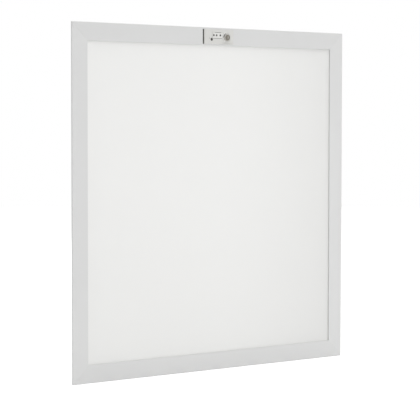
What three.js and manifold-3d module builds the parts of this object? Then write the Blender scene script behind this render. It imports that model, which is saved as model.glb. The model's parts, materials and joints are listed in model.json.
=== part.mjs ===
// A white lay-in ceiling light panel with a presence sensor let into its top rail.
// Millimetres, +Z up. The light face looks along -Y and y = 0 is the front of the frame, so depth
// grows along +Y. The origin is the middle of the frame's front plane. "Inset" is always the
// distance inwards from the panel's outer edge.
import * as THREE from 'three';
import { mergeVertices } from 'three/addons/utils/BufferGeometryUtils.js';
import Module from 'manifold-3d';

const wasm = await Module();
wasm.setup();

// ---------------------------------------------------------------- driving dimensions

const WIDTH = 595;            // whole panel, left to right
const HEIGHT = 595;           // whole panel, bottom to top
const GAP = 0.3;              // left between pieces that touch
const ROUND = 16;             // sides of a round piece

// frame rail section
const FACE = 30.5;            // face width of a rail
const FACE_T = 2.0;           // face thickness
const EDGE_DEPTH = 3.0;       // turned-back outer edge
const EDGE_T = 1.2;
const FIN_T = 1.3;            // the two fins that hold the corner keys
const FIN_DEPTH = 6.2;        // front of the frame to the back of the fins
const FIN_INSET = 9.0;        // outer fin
const MITRE_GAP = 0.15;       // each rail end stops this short of the mitre line
const KEY_LEG = 72;           // corner key, from the panel's edge to the end of a leg
const KEY_SINK = 0.3;         // key's back, in front of the fins' backs

// diffuser and its seal
const TUCK = 5.0;             // diffuser hidden behind the face, each side
const DIFFUSER_T = 1.5;
const SEAL_W = 2.8;

// pressed tray
const SHEET = 0.7;            // tray sheet thickness
const TRAY_DEPTH = 31.5;      // front of the frame to the tray's back
const WALL_TUCK = 2.0;        // sloping wall leaves the flange this far behind the face
const WALL_LEAN = 17.5;       // how far the wall leans in by the tray's back
const TRAY_CORNER = 14;       // corner radius
const LINER_T = 0.5;          // white reflector liner
const LINER_RISE = 1.8;       // liner floor in front of the tray floor

// screws
const SCREW_R = 1.8;
const SCREW_CLEAR = 0.4;      // hole radius over screw radius
const SCREW_HEAD_R = 3.8;
const SCREW_HEAD_T = 2.2;

// LED bars
const BARS = 5;
const BAR_W = 14;
const BAR_T = 1.2;
const BAR_INSET_X = 57.5;     // panel edge to a bar's end
const BAR_INSET_Z = 97.5;     // panel edge to the first and last bar's middle
const LEDS_PER_BAR = 6;
const LENS_R = 6.5;
const LENS_TIP_R = 3.4;
const LENS_H = 4.6;
const LENS_SIDES = 10;
const BUS_W = 3.0;            // flat lead that joins the bars
const BUS_T = 1.0;

// sensor module in the top rail; x from the panel's middle, insets from its top edge
const WINDOW_X0 = -28;
const WINDOW_X1 = 40;
const WINDOW_TOP = 2.7;       // inset of the window's upper edge
const WINDOW_SILL = 1.7;      // face left below the window
const SLOT_W = 3.2;           // dark slot left open beside the fascia
const FASCIA_T = 1.0;
const BOX_CLEAR = 0.4;        // sensor box to the diffuser's edge
const BOX_SIDE = 2.2;         // box end in from the window's end
const BOX_WALL = 1.0;
const BOX_DEPTH = 17;         // front of the frame to the back of the box
const BOARD_Y = 9.3;          // sensor board, front face
const BOARD_T = 1.2;
const STRIP = { x0: -6.5, x1: 16.6, up: 6.7, h: 10.3, t: 0.5 };   // up is above the box's underside
const PORT_XS = [-3.7, 2.5, 10.7];
const PORT_NAMES = ['status_light_pipe', 'remote_receiver_window', 'daylight_window'];
const PORT_UP = 12.1;
const PORT_R = 1.3;
const BUTTON = { x: -8.3, up: 4.8, r: 2.0, front: 0.6, back: 6.6, travel: 0.8 };
const LENS = { x: 24.6, r: 5.3, proud: 3.2, wall: 0.9, well: 2.3, rim: 1.6, rimT: 0.5 };
const CLIP_W = 8;             // spring clip width
const CLIP_T = 0.6;
const CLIP_REACH = 9.5;       // how far a spring clip reaches past the box

// driver on the tray's back
const DRIVER_INSET = 147.5;   // panel's top edge down to the driver's middle
const DRIVER_L = 250;
const DRIVER_W = 64;
const CASE_T = 1.5;
const BAY_L = 60;             // wiring bay at the mains end
const FOOT_L = 12;            // screw foot at each end
const POST_R = 3;
const POST_H = 3.4;
const PCB_T = 1.6;
const POLES = 3;
const POLE_PITCH = 12;
const TERMINAL = { x0: 22, length: 18, h: 13.4, wireR: 1.7, wellX: 5, wellZ: 4, wellDepth: 7 };
const RELEASE = { proud: 2, depth: 4.5 };
const GLAND = { r: 7.2, wall: 1.3, boreR: 4.1, flange: 5, nut: 3, overScrew: 1.2, underLid: 2.9 };
const TRANSFORMER = { x: 51, half: 17, w: 30, coilHalf: 22, coilW: 20, coilIn: 2 };
const CAN = { x0: -40, x1: -12, down: 14, r: 6 };           // driver capacitor
const HINGE = { r: 2.8, pinR: 1.0, out: 1.4, up: 3.4, lug: 4, lugInset: 4 };

// leads and their clips, and the safety loops
const DC_LEAD_R = 2.2;
const SENSOR_LEAD_R = 1.6;
const SENSOR_LEAD_X = 10;
const SENSOR_LEAD_INSET = 14;   // where it leaves the sensor box, from the panel's top edge
const CONTROL_UP = 4.5;         // where it meets the driver, behind the driver's base
const DC_CLIP_OUT = 52;         // clip on the output lead, from the driver's end
const SENSOR_CLIP_INSET = 76;   // clip on the sensor lead, from the panel's top edge
const LEAD_SIDES = 8;           // a path's circle has two sides for each curve segment
const GROMMET = { bar: 4, wall: 1.5, rim: 1.9, t: 2 };      // at the end of this bar
const LEAD_CLIP = { l: 9, w: 11, roof: 1.2 };
const LOOP_INSET_X = 97.5;    // safety loops' pivots, from the panel's sides and ends
const LOOP_INSET_Z = 92.5;
const LOOP_WIRE_R = 1.2;
const LOOP_LEG = 28;
const LOOP_HALF = 9;
const LOOP_BEND = 4;
const LOOP_FOOT_BEND = 1.6;
const EAR = { half: 11, t: 1.2, h: 9.6, w: 12, base: 1.2, pivot: 5.4, pinOut: 1.4 };

// ---------------------------------------------------------------- places worked out from them

const TOP = HEIGHT / 2;
const RIGHT = WIDTH / 2;
const DIFFUSER_INSET = FACE - TUCK;
const INNER_FIN = DIFFUSER_INSET - 2 * GAP - FIN_T;
const KEY_T = FIN_DEPTH - FACE_T - GAP - KEY_SINK;
const SCREW_INSET = (FIN_INSET + FIN_T + INNER_FIN) / 2;
const SCREW_HOLE_R = SCREW_R + SCREW_CLEAR;
const WALL_INSET = FACE - WALL_TUCK;
const DIFFUSER_Y = FACE_T + GAP;
const SEAL_Y = DIFFUSER_Y + DIFFUSER_T + GAP;
const FLANGE_Y = FIN_DEPTH + GAP;
const FLOOR_Y = TRAY_DEPTH - SHEET;
const BACK_Y = TRAY_DEPTH + GAP;                 // what is mounted on the tray starts here
const WALL_SIDEWAYS = SHEET * Math.hypot(1, WALL_LEAN / (TRAY_DEPTH - FLANGE_Y - SHEET));
const BAR_BACK = FLOOR_Y - GAP;
const BAR_FRONT = BAR_BACK - BAR_T;
const LINER_BACK = FLOOR_Y - LINER_RISE;
const BAR_HALF = RIGHT - BAR_INSET_X;
const BAR_PITCH = (HEIGHT - 2 * BAR_INSET_Z) / (BARS - 1);
const LED_PITCH = (2 * BAR_HALF) / LEDS_PER_BAR;
const WINDOW_BOTTOM = FACE - WINDOW_SILL;
const BOX_TOP = WINDOW_TOP + GAP;
const BOX_BOTTOM = DIFFUSER_INSET - BOX_CLEAR;
const STRIP_BOTTOM = BOX_BOTTOM - STRIP.up;
const STRIP_TOP = STRIP_BOTTOM - STRIP.h;
const PORT_Z = TOP - BOX_BOTTOM + PORT_UP;
const BUTTON_Z = TOP - BOX_BOTTOM + BUTTON.up;
const WELL_R = LENS.r + LENS.well;
const LENS_Z = TOP - BOX_BOTTOM + BOX_WALL + WELL_R;
const PIR_R = LENS.r - LENS.wall - GAP;
const BOX_X0 = WINDOW_X0 + BOX_SIDE + GAP;
const BOX_X1 = WINDOW_X1 - BOX_SIDE;
const FLANGE_FRONT = FASCIA_T + GAP;             // front of the sensor box's flange
const CLEAR_X0 = BOX_X0 - CLIP_REACH - 3;        // rail fins and tray flange stop here
const CLEAR_X1 = BOX_X1 + CLIP_REACH + 3;
const DRIVER_Z = TOP - DRIVER_INSET;
const DRIVER_X0 = -DRIVER_L / 2;
const DRIVER_X1 = DRIVER_L / 2;
const BAY_X1 = DRIVER_X0 + BAY_L;
const DRIVER_LOW = DRIVER_Z - DRIVER_W / 2;
const DRIVER_HIGH = DRIVER_Z + DRIVER_W / 2;
const BASE_TOP = BACK_Y + CASE_T;
const CABLE_Y = BASE_TOP + GAP + SCREW_HEAD_T + GLAND.overScrew + GLAND.r;
const LID_Y = CABLE_Y + GLAND.r + GLAND.underLid;
const DRIVER_BACK = LID_Y + CASE_T;
const NECK_R = GLAND.boreR + GLAND.wall;
const HINGE_Y = LID_Y + 0.1;
const HINGE_Z = DRIVER_HIGH + HINGE.up;
const BUS_X = BAR_HALF + GAP + BUS_W / 2;
const GROMMET_Z = (GROMMET.bar - (BARS + 1) / 2) * BAR_PITCH;
const GROMMET_BORE_R = DC_LEAD_R + GAP;
const GROMMET_NECK_R = GROMMET_BORE_R + GROMMET.wall;
const SENSOR_LEAD_Z = TOP - SENSOR_LEAD_INSET;
const CONTROL_Y = BASE_TOP + CONTROL_UP;
const POST_INSET = CASE_T + 2 * POST_R;

// ---------------------------------------------------------------- shaping helpers

/** A closed mesh as a solid that can be joined and cut. */
function toSolid(geometry) {
  const bare = geometry.clone();
  bare.deleteAttribute('normal');
  bare.deleteAttribute('uv');
  const merged = mergeVertices(bare);
  const triangles = [];
  const index = merged.index.array;
  for (let i = 0; i < index.length; i += 3) {
    const [a, b, c] = [index[i], index[i + 1], index[i + 2]];
    if (a !== b && b !== c && c !== a) triangles.push(a, b, c);
  }
  return new wasm.Manifold(new wasm.Mesh({
    numProp: 3,
    vertProperties: new Float32Array(merged.attributes.position.array),
    triVerts: new Uint32Array(triangles),
  }));
}

function toGeometry(solid) {
  const mesh = solid.getMesh();
  const geometry = new THREE.BufferGeometry();
  geometry.setAttribute('position', new THREE.BufferAttribute(mesh.vertProperties, 3));
  geometry.setIndex(new THREE.BufferAttribute(mesh.triVerts, 1));
  geometry.computeVertexNormals();
  return geometry;
}

/** The first shape with the others joined on. */
function join(first, ...others) {
  return toGeometry(others.reduce((sum, other) => sum.add(toSolid(other)), toSolid(first)));
}

/** The first shape with the others cut away. */
function cut(first, ...others) {
  return toGeometry(others.reduce((rest, other) => rest.subtract(toSolid(other)), toSolid(first)));
}

/** What two shapes have in common. */
function common(first, second) {
  return toGeometry(toSolid(first).intersect(toSolid(second)));
}

function block(x0, x1, y0, y1, z0, z1) {
  const box = new THREE.BoxGeometry(x1 - x0, y1 - y0, z1 - z0);
  return box.translate((x0 + x1) / 2, (y0 + y1) / 2, (z0 + z1) / 2);
}

/** A round bar along Y. */
function rodY(x, z, y0, y1, radius, tipRadius = radius, sides = ROUND) {
  const bar = new THREE.CylinderGeometry(radius, tipRadius, y1 - y0, sides);
  return bar.translate(x, (y0 + y1) / 2, z);
}

/** A round bar along X. */
function rodX(y, z, x0, x1, radius) {
  const bar = new THREE.CylinderGeometry(radius, radius, x1 - x0, ROUND).rotateZ(-Math.PI / 2);
  return bar.translate((x0 + x1) / 2, y, z);
}

/** A round bar along Z. */
function rodZ(x, y, z0, z1, radius) {
  const bar = new THREE.CylinderGeometry(radius, radius, z1 - z0, ROUND).rotateX(Math.PI / 2);
  return bar.translate(x, y, (z0 + z1) / 2);
}

/** A piece turned about a line along Y; its profile is [radius, y] points, axis to axis. */
function turned(x, z, profile) {
  const points = profile.map(([radius, y]) => new THREE.Vector2(radius, y));
  return new THREE.LatheGeometry(points, ROUND).translate(x, 0, z);
}

/** An outline in x and z, made solid from y0 to y1. */
function plate(shape, y0, y1, curveSegments = 4) {
  const options = { depth: y1 - y0, bevelEnabled: false, curveSegments };
  return new THREE.ExtrudeGeometry(shape, options).rotateX(Math.PI / 2).translate(0, y1, 0);
}

function roundedRect(target, halfWidth, halfHeight, radius) {
  const x = halfWidth - radius;
  const z = halfHeight - radius;
  target.absarc(x, z, radius, 0, Math.PI / 2);
  target.absarc(-x, z, radius, Math.PI / 2, Math.PI);
  target.absarc(-x, -z, radius, Math.PI, 1.5 * Math.PI);
  target.absarc(x, -z, radius, 1.5 * Math.PI, 2 * Math.PI);
  return target;
}

/** A flat frame between two insets. */
function ring(outerInset, innerInset, y0, y1, outerRadius, innerRadius) {
  const shape = roundedRect(new THREE.Shape(), RIGHT - outerInset, TOP - outerInset, outerRadius);
  shape.holes.push(roundedRect(new THREE.Path(), RIGHT - innerInset, TOP - innerInset, innerRadius));
  return plate(shape, y0, y1);
}

/** A round-cornered block at an inset, its sides leaning in by lean towards its back. */
function leaningBlock(inset, lean, y0, y1) {
  const outline = roundedRect(new THREE.Shape(), RIGHT - inset, TOP - inset, TRAY_CORNER);
  const geometry = plate(outline, y0, y1);
  const place = geometry.attributes.position;
  for (let i = 0; i < place.count; i++) {
    const back = (place.getY(i) - y0) / (y1 - y0);
    const x = place.getX(i) - Math.sign(place.getX(i)) * lean * back;
    const z = place.getZ(i) - Math.sign(place.getZ(i)) * lean * back;
    place.setXYZ(i, x, place.getY(i), z);
  }
  return geometry;
}

/** A strip of one thickness that follows [x, y] points, as wide as z0 to z1. */
function ribbon(points, thickness, z0, z1) {
  const path = points.map(([x, y]) => new THREE.Vector2(x, y));
  const side = (i) => {
    const before = path[Math.max(i - 1, 0)];
    const after = path[Math.min(i + 1, path.length - 1)];
    const along = after.clone().sub(before).normalize();
    return new THREE.Vector2(-along.y, along.x).multiplyScalar(thickness / 2);
  };
  const left = path.map((point, i) => point.clone().add(side(i)));
  const right = path.map((point, i) => point.clone().sub(side(i))).reverse();
  const options = { depth: z1 - z0, bevelEnabled: false };
  return new THREE.ExtrudeGeometry(new THREE.Shape([...left, ...right]), options).translate(0, 0, z0);
}

/** A round lead or wire along a curve. */
function wire(curve, radius, steps) {
  const section = new THREE.Shape();
  section.absarc(0, 0, radius, 0, 2 * Math.PI);
  const options = { steps, extrudePath: curve, curveSegments: LEAD_SIDES / 2, bevelEnabled: false };
  return new THREE.ExtrudeGeometry(section, options);
}

const panel = new THREE.Group();

function add(name, geometry, look) {
  const mesh = new THREE.Mesh(geometry, new THREE.MeshStandardMaterial(look));
  mesh.name = name;
  panel.add(mesh);
  return mesh;
}

const COAT = { color: 0xdfe0de, roughness: 0.45, metalness: 0 };
const OPAL = { color: 0xf2f2ee, roughness: 0.35, metalness: 0 };
const TRAY_COAT = { color: 0xe6e7e5, roughness: 0.5, metalness: 0 };
const ZINC = { color: 0xb4b7ba, roughness: 0.35, metalness: 1 };
const SENSOR_WHITE = { color: 0xdcdcd2, roughness: 0.5, metalness: 0 };
const DARK_PLASTIC = { color: 0x3a3935, roughness: 0.5, metalness: 0 };
const SMOKED = { color: 0x4a4338, roughness: 0.2, metalness: 0 };
const BOARD_GREEN = { color: 0x2d5a3c, roughness: 0.5, metalness: 0 };
const BOARD_WHITE = { color: 0xf0f0ec, roughness: 0.5, metalness: 0 };
const DRIVER_WHITE = { color: 0xe2e2de, roughness: 0.5, metalness: 0 };
const RUBBER = { color: 0x2b2b2b, roughness: 0.8, metalness: 0 };
const SEAL_GREY = { color: 0x8d8f90, roughness: 0.9, metalness: 0 };
const LEAD_GREY = { color: 0xc9cac8, roughness: 0.5, metalness: 0 };
const TERMINAL_GREY = { color: 0x9a9d9f, roughness: 0.5, metalness: 0 };
const RELEASE_ORANGE = { color: 0xd0702a, roughness: 0.5, metalness: 0 };

// ---------------------------------------------------------------- frame

/** One rail lying along the panel's top edge: the section carried from mitre to mitre. */
function railGeometry(length, edge) {
  const innerFinBack = INNER_FIN + FIN_T;
  const outerFinBack = FIN_INSET + FIN_T;
  const section = new THREE.Shape([
    [0, 0], [FACE, 0], [FACE, FACE_T],
    [innerFinBack, FACE_T], [innerFinBack, FIN_DEPTH], [INNER_FIN, FIN_DEPTH], [INNER_FIN, FACE_T],
    [outerFinBack, FACE_T], [outerFinBack, FIN_DEPTH], [FIN_INSET, FIN_DEPTH], [FIN_INSET, FACE_T],
    [EDGE_T, FACE_T], [EDGE_T, EDGE_DEPTH], [0, EDGE_DEPTH],
  ].map(([inset, depth]) => new THREE.Vector2(inset, depth)));
  const geometry = new THREE.ExtrudeGeometry(section, { depth: 1, bevelEnabled: false });
  const place = geometry.attributes.position;
  for (let i = 0; i < place.count; i++) {
    const inset = place.getX(i);
    const half = length / 2 - inset - MITRE_GAP;
    place.setXYZ(i, half * (2 * place.getZ(i) - 1), place.getY(i), edge - inset);
  }
  return geometry;
}

function buildFrame() {
  const window = block(WINDOW_X0, WINDOW_X1, -1, FIN_DEPTH + 1, TOP - WINDOW_BOTTOM, TOP - WINDOW_TOP);
  const finRelief = block(CLEAR_X0, CLEAR_X1, FACE_T, FIN_DEPTH + 1, TOP - FACE, TOP - EDGE_T - 0.4);
  add('frame_rail_top', cut(railGeometry(WIDTH, TOP), window, finRelief), COAT);
  const others = [['right', HEIGHT, RIGHT, 1], ['bottom', WIDTH, TOP, 2], ['left', HEIGHT, RIGHT, 3]];
  for (const [side, length, edge, quarters] of others) {
    const mesh = add(`frame_rail_${side}`, railGeometry(length, edge), COAT);
    mesh.rotation.y = quarters * Math.PI / 2;
  }
}

/** An L-shaped key in the fins' channel and its screw, at each corner. */
function buildCorners() {
  const outside = FIN_INSET + FIN_T + GAP;
  const inside = INNER_FIN - GAP;
  const outline = [[outside, outside], [KEY_LEG, outside], [KEY_LEG, inside], [inside, inside],
    [inside, KEY_LEG], [outside, KEY_LEG]];
  const headY = FLANGE_Y + SHEET + GAP;
  const corners = [['top_left', -1, 1], ['top_right', 1, 1],
    ['bottom_left', -1, -1], ['bottom_right', 1, -1]];
  for (const [name, sx, sz] of corners) {
    const at = ([a, b]) => new THREE.Vector2(sx * (RIGHT - a), sz * (TOP - b));
    const shape = new THREE.Shape(outline.map(at));
    const hole = at([SCREW_INSET, SCREW_INSET]);
    shape.holes.push(new THREE.Path().absarc(hole.x, hole.y, SCREW_HOLE_R, 0, 2 * Math.PI));
    add(`corner_key_${name}`, plate(shape, FACE_T + GAP, FACE_T + GAP + KEY_T, 6), ZINC);
    const profile = [[0, FACE_T + GAP], [SCREW_R, FACE_T + GAP], [SCREW_R, headY],
      [SCREW_HEAD_R, headY], [SCREW_HEAD_R, headY + 0.55 * SCREW_HEAD_T],
      [0.6 * SCREW_HEAD_R, headY + SCREW_HEAD_T], [0, headY + SCREW_HEAD_T]];
    const screw = turned(hole.x, hole.y, profile);
    add(`tray_screw_${name}`, cut(screw, ...crossRecess(hole.x, hole.y, headY + SCREW_HEAD_T)), ZINC);
  }
}

/** The two cuts of a cross recess in a screw head whose top is at y. */
function crossRecess(x, z, y) {
  const arm = 0.5 * SCREW_HEAD_R;
  const width = 0.13 * SCREW_HEAD_R;
  const low = y - 0.55 * SCREW_HEAD_T;
  return [block(x - arm, x + arm, low, y + 1, z - width, z + width),
    block(x - width, x + width, low, y + 1, z - arm, z + arm)];
}

// ---------------------------------------------------------------- light body

function buildOptics() {
  const half = (inset) => roundedRect(new THREE.Shape(), RIGHT - inset, TOP - inset, 2);
  add('diffuser', plate(half(DIFFUSER_INSET), DIFFUSER_Y, DIFFUSER_Y + DIFFUSER_T), OPAL);
  const sealInset = DIFFUSER_INSET + 0.2;
  add('diffuser_seal', ring(sealInset, sealInset + SEAL_W, SEAL_Y, FIN_DEPTH, 2, 2), SEAL_GREY);
}

function buildTray() {
  const flangeBack = FLANGE_Y + SHEET;
  const flange = ring(FIN_INSET, WALL_INSET + 1, FLANGE_Y, flangeBack, 3, TRAY_CORNER);
  const shell = leaningBlock(WALL_INSET, WALL_LEAN, FLANGE_Y, TRAY_DEPTH);
  const slope = WALL_LEAN / (TRAY_DEPTH - FLANGE_Y);
  const mouthY = FLANGE_Y - 1;
  const hollowInset = WALL_INSET + WALL_SIDEWAYS - slope;
  const hollow = leaningBlock(hollowInset, slope * (FLOOR_Y - mouthY), mouthY, FLOOR_Y);
  const sensorNotch = block(CLEAR_X0, CLEAR_X1, FLANGE_Y - 1, flangeBack + 1, TOP - BOX_BOTTOM - 1, TOP);
  const holes = [-1, 1].flatMap((sx) => [-1, 1].map((sz) => rodY(
    sx * (RIGHT - SCREW_INSET), sz * (TOP - SCREW_INSET), FLANGE_Y - 1, flangeBack + 1, SCREW_HOLE_R)));
  const leadHole = rodY(BUS_X, GROMMET_Z, FLOOR_Y - 1, TRAY_DEPTH + 1, GROMMET_NECK_R + GAP);
  add('rear_tray', cut(join(flange, shell), hollow, sensorNotch, leadHole, ...holes), TRAY_COAT);
  addLiner(slope);
  const neck = rodY(BUS_X, GROMMET_Z, FLOOR_Y, BACK_Y + 1, GROMMET_NECK_R);
  const collar = rodY(BUS_X, GROMMET_Z, BACK_Y, BACK_Y + GROMMET.t, GROMMET_NECK_R + GROMMET.rim);
  const bore = rodY(BUS_X, GROMMET_Z, FLOOR_Y - 1, BACK_Y + GROMMET.t + 1, GROMMET_BORE_R);
  add('lead_grommet', cut(join(neck, collar), bore), RUBBER);
}

/** The reflector liner: a thin copy of the tray's hollow with a hole for each LED lens. */
function addLiner(slope) {
  const mouthY = FLANGE_Y + SHEET;
  const inset = WALL_INSET + WALL_SIDEWAYS + GAP + slope * SHEET;
  const skin = leaningBlock(inset, slope * (LINER_BACK - mouthY), mouthY, LINER_BACK);
  const inner = leaningBlock(inset + LINER_T - slope, slope * (LINER_BACK - LINER_T - mouthY + 1),
    mouthY - 1, LINER_BACK - LINER_T);
  const holes = barPlaces().flatMap((z) => ledPlaces().map((x) => rodY(
    x, z, LINER_BACK - LINER_T - 1, LINER_BACK + 1, LENS_R + 2 * GAP, LENS_R + 2 * GAP, LENS_SIDES)));
  add('reflector_liner', cut(skin, inner, ...holes), BOARD_WHITE);
}

const barPlaces = () => Array.from({ length: BARS }, (_, i) => (i - (BARS - 1) / 2) * BAR_PITCH);
const ledPlaces = () => Array.from({ length: LEDS_PER_BAR },
  (_, i) => (i - (LEDS_PER_BAR - 1) / 2) * LED_PITCH);

function buildBars() {
  barPlaces().forEach((z, i) => {
    const board = block(-BAR_HALF, BAR_HALF, BAR_FRONT, BAR_BACK, z - BAR_W / 2, z + BAR_W / 2);
    const lenses = ledPlaces().map((x) => rodY(
      x, z, BAR_FRONT - LENS_H, BAR_FRONT + 0.5, LENS_R, LENS_TIP_R, LENS_SIDES));
    add(`led_bar_${i + 1}`, join(board, ...lenses), BOARD_WHITE);
  });
  const reach = BAR_PITCH * (BARS - 1) / 2 + BAR_W / 2;
  const bus = block(BUS_X - BUS_W / 2, BUS_X + BUS_W / 2, BAR_BACK - BUS_T, BAR_BACK, -reach, reach);
  add('bar_bus_lead', bus, LEAD_GREY);
}

// ---------------------------------------------------------------- sensor module

/** The plate seen in the rail's window, with its well for the lens and its ports. */
function addFascia() {
  const outline = (front) => block(WINDOW_X0 + SLOT_W, WINDOW_X1 - GAP, front, FASCIA_T,
    TOP - WINDOW_BOTTOM + GAP, TOP - WINDOW_TOP - GAP);
  const body = outline(0);
  const rim = common(rodY(LENS.x, LENS_Z, -LENS.rimT, FASCIA_T, WELL_R + LENS.rim), outline(-1));
  const pocket = block(STRIP.x0, STRIP.x1, -1, STRIP.t + GAP / 2, TOP - STRIP_BOTTOM, TOP - STRIP_TOP);
  const well = rodY(LENS.x, LENS_Z, -1, FASCIA_T + 1, WELL_R);
  const button = rodY(BUTTON.x, BUTTON_Z, -1, FASCIA_T + 1, BUTTON.r + GAP);
  const ports = PORT_XS.map((x) => rodY(x, PORT_Z, -1, FASCIA_T + 1, PORT_R));
  add('sensor_fascia', cut(join(body, rim), pocket, well, button, ...ports), SENSOR_WHITE);
}

/** The thin inset strip round the three ports. */
function addStrip() {
  const side = GAP / 2 + 0.1;
  const front = -0.05;
  const body = block(STRIP.x0 + side, STRIP.x1 - side, front, STRIP.t - GAP / 2,
    TOP - STRIP_BOTTOM + side, TOP - STRIP_TOP - side);
  const rim = rodY(LENS.x, LENS_Z, -1, FASCIA_T, WELL_R + LENS.rim + GAP);
  const notch = rodY(BUTTON.x, BUTTON_Z, -1, FASCIA_T, BUTTON.r + 2 * GAP);
  const ports = PORT_XS.map((x) => rodY(x, PORT_Z, -1, FASCIA_T + 1, PORT_R));
  add('port_strip', cut(body, rim, notch, ...ports), SENSOR_WHITE);
}

/** The box behind the window: a flange that floors the dark slot, walls, and an open back. */
function addSensorBox() {
  const flange = block(WINDOW_X0 + GAP, WINDOW_X1 - GAP, FLANGE_FRONT, FACE_T,
    TOP - WINDOW_BOTTOM + GAP, TOP - WINDOW_TOP - GAP);
  const walls = block(BOX_X0, BOX_X1, FLANGE_FRONT, BOX_DEPTH, TOP - BOX_BOTTOM, TOP - BOX_TOP);
  const hollow = block(BOX_X0 + BOX_WALL, BOX_X1 - BOX_WALL, FACE_T, BOX_DEPTH + 1,
    TOP - BOX_BOTTOM + BOX_WALL, TOP - BOX_TOP - BOX_WALL);
  const well = rodY(LENS.x, LENS_Z, 0, FACE_T + 1, WELL_R);
  const button = rodY(BUTTON.x, BUTTON_Z, 0, FACE_T + 1, BUTTON.r + GAP);
  const ports = PORT_XS.map((x) => rodY(x, PORT_Z, 0, FACE_T + 1, PORT_R));
  add('sensor_box', cut(join(flange, walls), hollow, well, button, ...ports), DARK_PLASTIC);
  const cover = block(BOX_X0, BOX_X1, BOX_DEPTH + GAP, BOX_DEPTH + GAP + BOX_WALL,
    TOP - BOX_BOTTOM, TOP - BOX_TOP);
  const leadHole = rodY(SENSOR_LEAD_X, SENSOR_LEAD_Z, BOX_DEPTH - 1, BOX_DEPTH + 3, SENSOR_LEAD_R + GAP);
  add('sensor_box_cover', cut(cover, leadHole), DARK_PLASTIC);
}

function addSensorInsides() {
  PORT_XS.forEach((x, i) => {
    const bar = PORT_R - GAP;
    const collar = PORT_R + 0.3;
    const profile = [[0, 0.7], [bar, 0.7], [bar, FACE_T + GAP], [collar, FACE_T + GAP],
      [collar, FACE_T + 1.1], [bar, FACE_T + 1.1], [bar, BOARD_Y - GAP], [0, BOARD_Y - GAP]];
    add(PORT_NAMES[i], turned(x, PORT_Z, profile), SMOKED);
  });
  const stop = FACE_T + GAP;
  const cap = [[0, BUTTON.front], [BUTTON.r, BUTTON.front], [BUTTON.r, stop], [BUTTON.r + 0.7, stop],
    [BUTTON.r + 0.7, stop + 1], [BUTTON.r - 0.4, stop + 1], [BUTTON.r - 0.4, BUTTON.back],
    [0, BUTTON.back]];
  add('pairing_button', turned(BUTTON.x, BUTTON_Z, cap), SMOKED);
  const switchFront = BUTTON.back + BUTTON.travel + GAP;
  add('button_switch', block(BUTTON.x - 2.6, BUTTON.x + 2.6, switchFront, BOARD_Y - GAP,
    BUTTON_Z - 2.2, BUTTON_Z + 2.2), DARK_PLASTIC);
  const lensBack = FACE_T + 3;
  const lens = [[0, -LENS.proud], [0.75 * LENS.r, 0.2 - LENS.proud], [LENS.r, 1 - LENS.proud],
    [LENS.r, lensBack - 1], [WELL_R - 0.4, lensBack - 1], [WELL_R - 0.4, lensBack],
    [LENS.r - LENS.wall, lensBack], [LENS.r - LENS.wall, 1.6 - LENS.proud], [0, 1 - LENS.proud]];
  add('sensor_lens', turned(LENS.x, LENS_Z, lens), SMOKED);
  add('motion_detector', rodY(LENS.x, LENS_Z, lensBack - 1.5, BOARD_Y - GAP, PIR_R), ZINC);
  const edge = BOX_WALL + GAP;
  add('sensor_board', block(BOX_X0 + edge, BOX_X1 - edge, BOARD_Y, BOARD_Y + BOARD_T,
    TOP - BOX_BOTTOM + edge, TOP - BOX_TOP - edge), BOARD_GREEN);
}

/** The bent steel clips that hold the box against the back of the rail. */
function addSpringClips() {
  const middle = TOP - (BOX_TOP + BOX_BOTTOM) / 2;
  const rest = FACE_T + GAP + CLIP_T;
  const sides = [['left', BOX_X0, -1], ['right', BOX_X1, 1]];
  for (const [side, wall, out] of sides) {
    const x = (reach) => wall + out * (GAP + CLIP_T / 2 + reach);
    const bend = [[x(0), BOX_DEPTH - 3], [x(0), 8], [x(CLIP_REACH - 3), rest], [x(CLIP_REACH), rest + 1.6]];
    add(`spring_clip_${side}`, ribbon(bend, CLIP_T, middle - CLIP_W / 2, middle + CLIP_W / 2), ZINC);
  }
}

// ---------------------------------------------------------------- driver

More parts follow.
